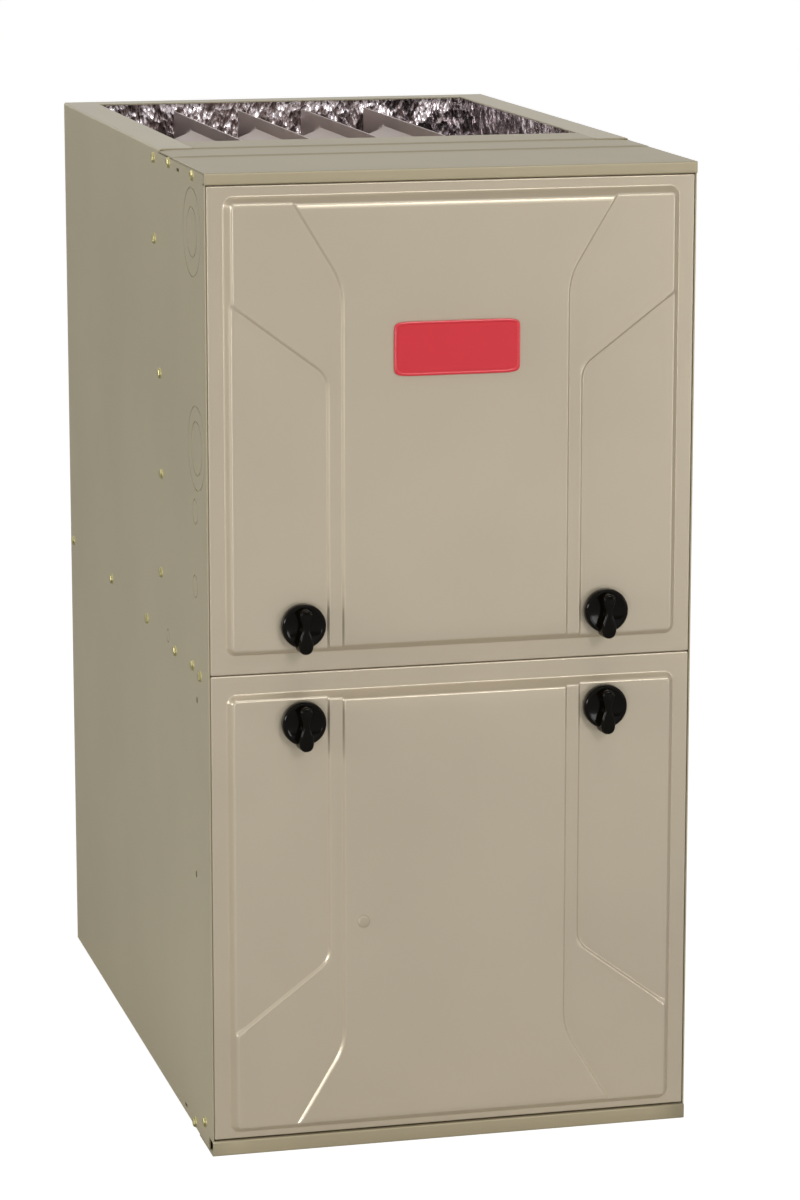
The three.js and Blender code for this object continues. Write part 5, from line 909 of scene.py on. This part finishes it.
# ---------------------------------------------------------------- foil-faced liners
# Glass-fibre blanket 12 mm thick, faced with thin aluminium foil, on the walls round the heat
# exchanger. The foil is creased all over, mostly down the wall.

LINER_BOTTOM, LINER_TOP, LINER_FRONT, LINER_BACK = 442.1, 886.9, 216.5, 722.5
LINER_FACE, LINER_OUT = 209, 220.9  # x of the side liners' foil and of their glued face
LINER_THICK = 12
LINER_GAP = 0.3  # between the side liners and the back one
CREASE_DEPTH = 2.2
FOIL_LOOSE = 1.6  # how far the foil stands off the blanket

# Foil is bright bare metal, broken into creases 12 and 25 mm apart and drawn out downwards.
crumpled_foil, tree, shader = new_material("crumpled_aluminium_foil")
place = add_node(tree, "ShaderNodeTexCoord").outputs["Object"]
drawn = add_node(tree, "ShaderNodeMapping", None, {"Vector": place, "Scale": (1.0, 1.0, 0.45)}).outputs[0]
crease = add_node(
    tree, "ShaderNodeTexVoronoi", {"feature": "F1"}, {"Vector": drawn, "Scale": 1000 / 12.5, "Detail": 2.0}
)
fold = add_node(tree, "ShaderNodeTexNoise", None, {"Vector": drawn, "Scale": 1000 / 25, "Detail": 3.0})
both = add_node(
    tree, "ShaderNodeMath", {"operation": "ADD"}, {0: crease.outputs["Distance"], 1: fold.outputs["Fac"]}
)
bump = add_node(tree, "ShaderNodeBump", None, {"Height": both.outputs[0], "Strength": 0.7, "Distance": 0.004})
tree.links.new(bump.outputs[0], shader.inputs["Normal"])
shader.inputs["Base Color"].default_value = linear("#C9BFC2")
shader.inputs["Metallic"].default_value = 1.0
shader.inputs["Roughness"].default_value = 0.2


def folded(a, b, seed, scale):
    """A field of straight creases: the sum of triangle waves along random directions over
    the plane, each wave's height falling with its frequency."""
    rng = np.random.default_rng(seed)
    total = np.zeros_like(a)
    for octave, count in ((1, 4), (2, 5), (4, 5)):
        for _ in range(count):
            direction = rng.normal(0, 0.5)
            wave = (a * math.cos(direction) + b * math.sin(direction)) * octave / scale + rng.random()
            total += (np.abs(wave % 1 - 0.5) * 2 - 0.5) / octave
    return total


def slab(front, back):
    """Two grids of one size, joined round their edges to a closed body."""
    rows, columns = front.shape[:2]
    index = np.arange(rows * columns).reshape(rows, columns)
    edge = np.concatenate([index[0, :-1], index[:-1, -1], index[-1, :0:-1], index[:0:-1, 0]])
    after = np.roll(edge, -1)
    count = rows * columns
    rim = np.stack([edge, edge + count, after + count, after], axis=-1)
    face = grid_faces(rows, columns)
    faces = np.concatenate([face, face[:, ::-1] + count, rim])
    return np.concatenate([front.reshape(-1, 3), back.reshape(-1, 3)]), faces


def liner_faces(side, seed):
    """The creased front and the flat rear of a liner, as grids over the wall's length and
    its height; side is -1 for left, 1 for right and 0 for the back. The creases fade out
    over the last 6 mm below the top edge."""
    if side:
        along = np.linspace(LINER_FRONT, LINER_BACK - LINER_THICK - LINER_GAP, 170)
    else:
        along = np.linspace(LINER_GAP - LINER_FACE, LINER_FACE - LINER_GAP, 150)
    along, z = np.meshgrid(along, np.linspace(LINER_BOTTOM, LINER_TOP, 110), indexing="ij")
    crumple = np.clip(folded(along, z * 0.5, seed, 46) * 1.1, -CREASE_DEPTH, CREASE_DEPTH)
    crumple = crumple * np.clip((LINER_TOP - z) / 6, 0.15, 1) - FOIL_LOOSE
    if side:
        return [np.stack([side * x, along, z], axis=-1) for x in (LINER_FACE + crumple, 0 * z + LINER_OUT)]
    foil = LINER_BACK - LINER_THICK + crumple
    return [np.stack([along, y, z], axis=-1) for y in (foil, 0 * z + LINER_BACK)]


for name, side, seed in (("left", -1, 123), ("right", 1, 130), ("back", 0, 113)):
    liner = make_object(f"foil_liner_{name}_blanket", *slab(*liner_faces(side, seed)), crumpled_foil, 20)
    reworked(liner.data, face_out)
    finish_piece(liner, "foil", "cabinet", "foil_liner_" + name)

# ---------------------------------------------------------------- heat-exchanger cells
# Four clamshell cells of aluminised steel. Each is pressed in two halves with the gas path
# bulged out between them, and the halves are crimped along a flat seam.

CELL_X = (-119, -53, 13, 79)
CELL_FRONT, CELL_BACK = 216.5, 657.5
CELL_BOTTOM, CELL_TOP = 616, 883
CELL_BULGE = 21.2
CELL_FLANGE = 12
PASS_GAP = 24
PASS_PARTS = (38, 30, 23)  # heights of the three passes, as parts of what they share

CELL_RISE = 11  # inside the gas path's edge, over which the wall bulges out
CELL_SEAM = 0.8  # half the thickness of the crimped seam
BEAD_STEP, BEAD_WIDTH, BEAD_DEPTH = 60, 4, 2.2

# Aluminised steel: a grey coat with a tin-like gloss, clouded over 36 mm by the press oil.
aluminised_steel, tree, shader = new_material("aluminised_pressed_steel")
place = add_node(tree, "ShaderNodeTexCoord").outputs["Object"]
cloud = add_node(tree, "ShaderNodeTexNoise", None, {"Vector": place, "Scale": 1000 / 36, "Detail": 4.0})
vary(shader, cloud.outputs["Fac"], (0.3, 0.7), gloss=(0.34, 0.48), tone=(0.9, 1.08), colour="#A3948C")
shader.inputs["Metallic"].default_value = 0.85


def gas_path(y, z):
    """Distance inside the gas path, which runs back, forth and back again. A return bend is
    the space between an outer and an inner stadium, each the distance from a level line that
    ends at the bend's centre; the path is the first bend with the bottom pass in the rear
    half, and the second bend with the top pass in the front half."""
    room = CELL_TOP - CELL_BOTTOM - 2 * CELL_FLANGE - 2 * PASS_GAP
    high = room * np.array(PASS_PARTS) / sum(PASS_PARTS)
    tops = CELL_TOP - CELL_FLANGE - np.append(0, np.cumsum(high[:-1] + PASS_GAP))
    lows = tops - high

    def bend(past, upper, lower):
        outer, inner = (tops[upper] - lows[lower]) / 2, PASS_GAP / 2
        from_outer = outer - np.hypot(past, z - lows[lower] - outer)
        return np.minimum(from_outer, np.hypot(past, z - tops[lower] - inner) - inner)

    def level(number):
        return high[number] / 2 - np.abs(z - lows[number] - high[number] / 2)

    rear = CELL_BACK - CELL_FLANGE - (tops[0] - lows[1]) / 2
    fore = CELL_FRONT + CELL_FLANGE + (tops[1] - lows[2]) / 2
    rear_half = np.maximum(bend(np.clip(y - rear, 0, None), 0, 1), level(2))
    front_half = np.maximum(bend(np.clip(fore - y, 0, None), 1, 2), level(0))
    return np.where(y > (rear + fore) / 2, rear_half, front_half)


def cell_half(x, side):
    """One pressed half as a height field over (y, z): the bulge rises with a power of the
    sine of the way through CELL_RISE, and shallow beads, a bell curve deep, run across each
    pass and fade out towards its edges."""
    y, z = np.meshgrid(
        np.linspace(CELL_FRONT, CELL_BACK, 160), np.linspace(CELL_BOTTOM, CELL_TOP, 96), indexing="ij"
    )
    inside = gas_path(y, z)
    bulge = CELL_BULGE * np.sin(np.clip(inside / CELL_RISE, 0, 1) * np.pi / 2) ** 1.3
    from_bead = (y - CELL_FRONT) % BEAD_STEP - BEAD_STEP / 2
    bead = BEAD_DEPTH * np.exp(-(from_bead / BEAD_WIDTH) ** 2) * np.clip(inside / CELL_RISE / 2 - 0.5, 0, 1)
    return np.stack([x + side * (CELL_SEAM + bulge - bead), y, z], axis=-1)


for index, x in enumerate(CELL_X, start=1):
    halves = slab(cell_half(x, -1), cell_half(x, 1))
    cell = make_object(f"cell_pressing_{index}", *halves, aluminised_steel, 50)
    reworked(cell.data, face_out)
    finish_piece(cell, "exchanger_steel", "cabinet", f"hx_cell_{index}")

# ---------------------------------------------------------------- sheet metal inside
# Brackets, panels, the blower's scroll, the vent pipe and the boxes are galvanised steel.
# They are copies of the CAD's solids with round faces smoothed and sharp edges broken.

SLOT_OF = {row["node"]: row["material_slot"] for row in frame["record"]["subparts"]}
SHARP = math.radians(40)  # edges sharper than this are broken
FLAT = math.radians(0.5)  # faces closer than this to one plane are joined


def weld_flats(shell):
    """Joins a CAD copy's loose triangles to closed solids with whole flat faces."""
    weld(shell)
    bmesh.ops.dissolve_limit(shell, angle_limit=FLAT, verts=shell.verts, edges=shell.edges)


def broken_edges(material, width, *nodes):
    """Copies of CAD solids, welded, with each sharp edge cut back by a bevel of the given
    width in millimetres."""
    for node in nodes:
        source = frame["nodes"][node]
        mesh = bpy.data.meshes.new(node + "_finished")
        reworked(source.data, weld_flats, mesh)
        mesh.materials.append(material)
        mesh.shade_smooth()
        mesh.set_sharp_from_angle(angle=SHARP)
        piece = bpy.data.objects.new(node + "_finished", mesh)
        bpy.context.scene.collection.objects.link(piece)
        bevel = piece.modifiers.new("broken_edges", "BEVEL")
        bevel.width = width / 1000
        bevel.segments = 2
        bevel.limit_method = "ANGLE"
        bevel.angle_limit = SHARP
        keep_flat(piece)
        finish_piece(piece, SLOT_OF[node], source["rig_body"], node)


def skinned(material, *nodes):
    """Gives CAD nodes a material in place of the plain one they came with."""
    for node in nodes:
        for place in frame["nodes"][node].material_slots:
            place.link = "OBJECT"
            place.material = material


# Hot-dip zinc: cool grey metal in flakes of spangle 9 mm across, each with its own gloss.
zinc_sheet, tree, shader = new_material("hot_dip_galvanised_sheet")
place = add_node(tree, "ShaderNodeTexCoord").outputs["Object"]
spangle = add_node(tree, "ShaderNodeTexVoronoi", {"feature": "F1"}, {"Vector": place, "Scale": 1000 / 9.1})
tint = add_node(tree, "ShaderNodeRGBToBW", None, {"Color": spangle.outputs["Color"]})
vary(shader, tint.outputs[0], (0.2, 0.8), gloss=(0.3, 0.46), tone=(0.92, 1.06), colour="#A9ADAF")
shader.inputs["Metallic"].default_value = 0.9
broken_edges(
    zinc_sheet, 0.4, "bottom_panel", "blower_deck", "cell_panel", "burner_rack", "vent_elbow", "junction_box",
    "blower_housing", "motor_mount", "motor_capacitor", "control_tray", "latch_cam_upper_left",
    "latch_cam_upper_right", "latch_cam_lower_left", "latch_cam_lower_right",
)
skinned(zinc_sheet, "blower_wheel")
broken_edges(cap_enamel, 0.4, "centre_rail")
broken_edges(aluminised_steel, 1.5, "coupling_box")

# ---------------------------------------------------------------- bare aluminium inside
# Burner tubes and the inducer's wheel are mill-finish aluminium, drawn in one direction, and
# the secondary coil is a block of fins.

# Mill finish: pale metal with drawing lines 1.1 mm apart, along the tubes.
mill_aluminium, tree, shader = new_material("mill_finish_aluminium")
place = add_node(tree, "ShaderNodeTexCoord").outputs["Object"]
drawn = add_node(tree, "ShaderNodeMapping", None, {"Vector": place, "Scale": (1.0, 0.06, 1.0)})
streak = add_node(
    tree, "ShaderNodeTexNoise", None, {"Vector": drawn.outputs[0], "Scale": 1000 / 1.11, "Detail": 3.0}
)
vary(shader, streak.outputs["Fac"], (0.3, 0.7), gloss=(0.24, 0.4))
bump = add_node(
    tree, "ShaderNodeBump", None, {"Height": streak.outputs["Fac"], "Strength": 0.12, "Distance": 0.0002}
)
tree.links.new(bump.outputs[0], shader.inputs["Normal"])
shader.inputs["Base Color"].default_value = linear("#C3C5C7")
shader.inputs["Metallic"].default_value = 1.0
broken_edges(mill_aluminium, 0.4, "burner_1", "burner_2", "burner_3", "burner_4", "inducer_wheel")

# Fins stand 1.8 mm apart across the cabinet. They are drawn 6 mm apart, so that they show, with painted shade
# in the gaps between them.
# A band texture repeats every pi / 10 of its vector.
FIN_STEP = 6
fin_stack, tree, shader = new_material("stacked_aluminium_fins")
place = add_node(tree, "ShaderNodeTexCoord").outputs["Object"]
fins = add_node(
    tree, "ShaderNodeTexWave", {"wave_type": "BANDS", "bands_direction": "X", "wave_profile": "SIN"},
    {"Vector": place, "Scale": 1000 / FIN_STEP * math.pi / 10, "Distortion": 0.0},
)
bump = add_node(
    tree, "ShaderNodeBump", None, {"Height": fins.outputs["Fac"], "Strength": 0.6, "Distance": 0.001}
)
tree.links.new(bump.outputs[0], shader.inputs["Normal"])
# The band's troughs darken the colour to 35 per cent: painted shade between the fins.
vary(shader, fins.outputs["Fac"], (0.0, 0.6), tone=(0.35, 1.0), colour="#B9BBBC")
shader.inputs["Metallic"].default_value = 0.9
shader.inputs["Roughness"].default_value = 0.4
skinned(fin_stack, "secondary_coil")

# ---------------------------------------------------------------- moulded parts inside
# The collector, the inducer's housing, the condensate trap and the switches are moulded in
# black polypropylene with a fine spark-eroded grain. The hoses are smooth black rubber.


def moulding(name, colour, roughness, grain, strength, metallic=0.0):
    """A moulded, cast or coated surface: one colour, a grain of the given size in
    millimetres that shows in its bump, and a gloss that drifts with the grain."""
    material, tree, shader = new_material(name)
    place = add_node(tree, "ShaderNodeTexCoord").outputs["Object"]
    fine = {"Vector": place, "Scale": 1000 / grain, "Detail": 2.0}
    grains = add_node(tree, "ShaderNodeTexNoise", None, fine)
    vary(shader, grains.outputs["Fac"], (0.3, 0.7), gloss=(roughness - 0.05, roughness + 0.05))
    bump = add_node(
        tree, "ShaderNodeBump", None,
        {"Height": grains.outputs["Fac"], "Strength": strength, "Distance": 0.0003},
    )
    tree.links.new(bump.outputs[0], shader.inputs["Normal"])
    shader.inputs["Base Color"].default_value = linear(colour)
    shader.inputs["Metallic"].default_value = metallic
    return material


# Each has its grain's size in millimetres and how strongly the grain shows.
spark_grained = moulding("spark_grained_black_polypropylene", "#232323", 0.5, 0.67, 0.25)
hose_rubber = moulding("smooth_black_rubber", "#1B1B1B", 0.62, 1.43, 0.08)
white_nylon = moulding("gloss_white_nylon", "#E2E0D9", 0.35, 0.67, 0.06)
red_nylon = moulding("gloss_red_nylon", "#B8342B", 0.35, 0.67, 0.06)
steatite = moulding("unglazed_steatite", "#DED9CC", 0.75, 0.4, 0.3)
broken_edges(
    spark_grained, 0.8, "collector_box", "rollout_switch", "inducer_housing", "pressure_switch",
    "condensate_trap", "door_switch",
)
broken_edges(hose_rubber, 0.5, "pressure_hose", "drain_hose")
broken_edges(white_nylon, 0.4, "valve_lever", "switch_plunger")
broken_edges(red_nylon, 0.4, "reset_button")
broken_edges(steatite, 0.4, "igniter", "flame_sensor")

# ---------------------------------------------------------------- gas train and motors
# The valve is a grey pressure die casting, the manifold is steel pipe with its black mill
# scale, and the motors and the transformer have dark baked enamel.

die_cast = moulding("die_cast_grey_aluminium", "#9B9D9E", 0.48, 0.91, 0.35, metallic=0.85)
scaled_pipe = moulding("black_oxide_pipe", "#383733", 0.55, 2, 0.4, metallic=0.6)
motor_enamel = moulding("dark_baked_enamel", "#2A2C2E", 0.38, 1.11, 0.1)
broken_edges(die_cast, 0.8, "gas_valve")
broken_edges(scaled_pipe, 0.6, "gas_manifold")
broken_edges(motor_enamel, 0.8, "inducer_motor", "blower_motor", "transformer")

# ---------------------------------------------------------------- control board
# A green epoxy laminate 1.6 mm thick with black relays and terminals soldered to it. What
# stands in front of the laminate's face is black plastic, and the face carries tracks.

BOARD_STAND = 10.2  # from the tray to the laminate's face
TRACK_STEP = 25

board, tree, shader = new_material("green_epoxy_laminate")
place = add_node(tree, "ShaderNodeTexCoord").outputs["Object"]
upright = add_node(tree, "ShaderNodeMapping", None, {"Vector": place, "Rotation": (math.pi / 2, 0, 0)})
track = add_node(
    tree, "ShaderNodeTexBrick", {"offset": 0.37, "squash": 0.6},
    {"Vector": upright.outputs[0], "Color1": linear("#1E5536"), "Color2": linear("#25613D"),
     "Mortar": linear("#3F7F55"), "Scale": 1000 / TRACK_STEP, "Mortar Size": 0.02},
)
depth = add_node(tree, "ShaderNodeSeparateXYZ", None, {"Vector": place})
laminate_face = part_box("control_tray")[0].y - BOARD_STAND / 1000
standing = add_node(
    tree, "ShaderNodeMath", {"operation": "LESS_THAN"}, {0: depth.outputs["Y"], 1: laminate_face}
)
surface = add_node(
    tree, "ShaderNodeMix", {"data_type": "RGBA"},
    {0: standing.outputs[0], 6: track.outputs["Color"], 7: linear("#1E1E20")},
)
tree.links.new(surface.outputs[2], shader.inputs["Base Color"])
shader.inputs["Roughness"].default_value = 0.36
broken_edges(board, 0.3, "control_board")
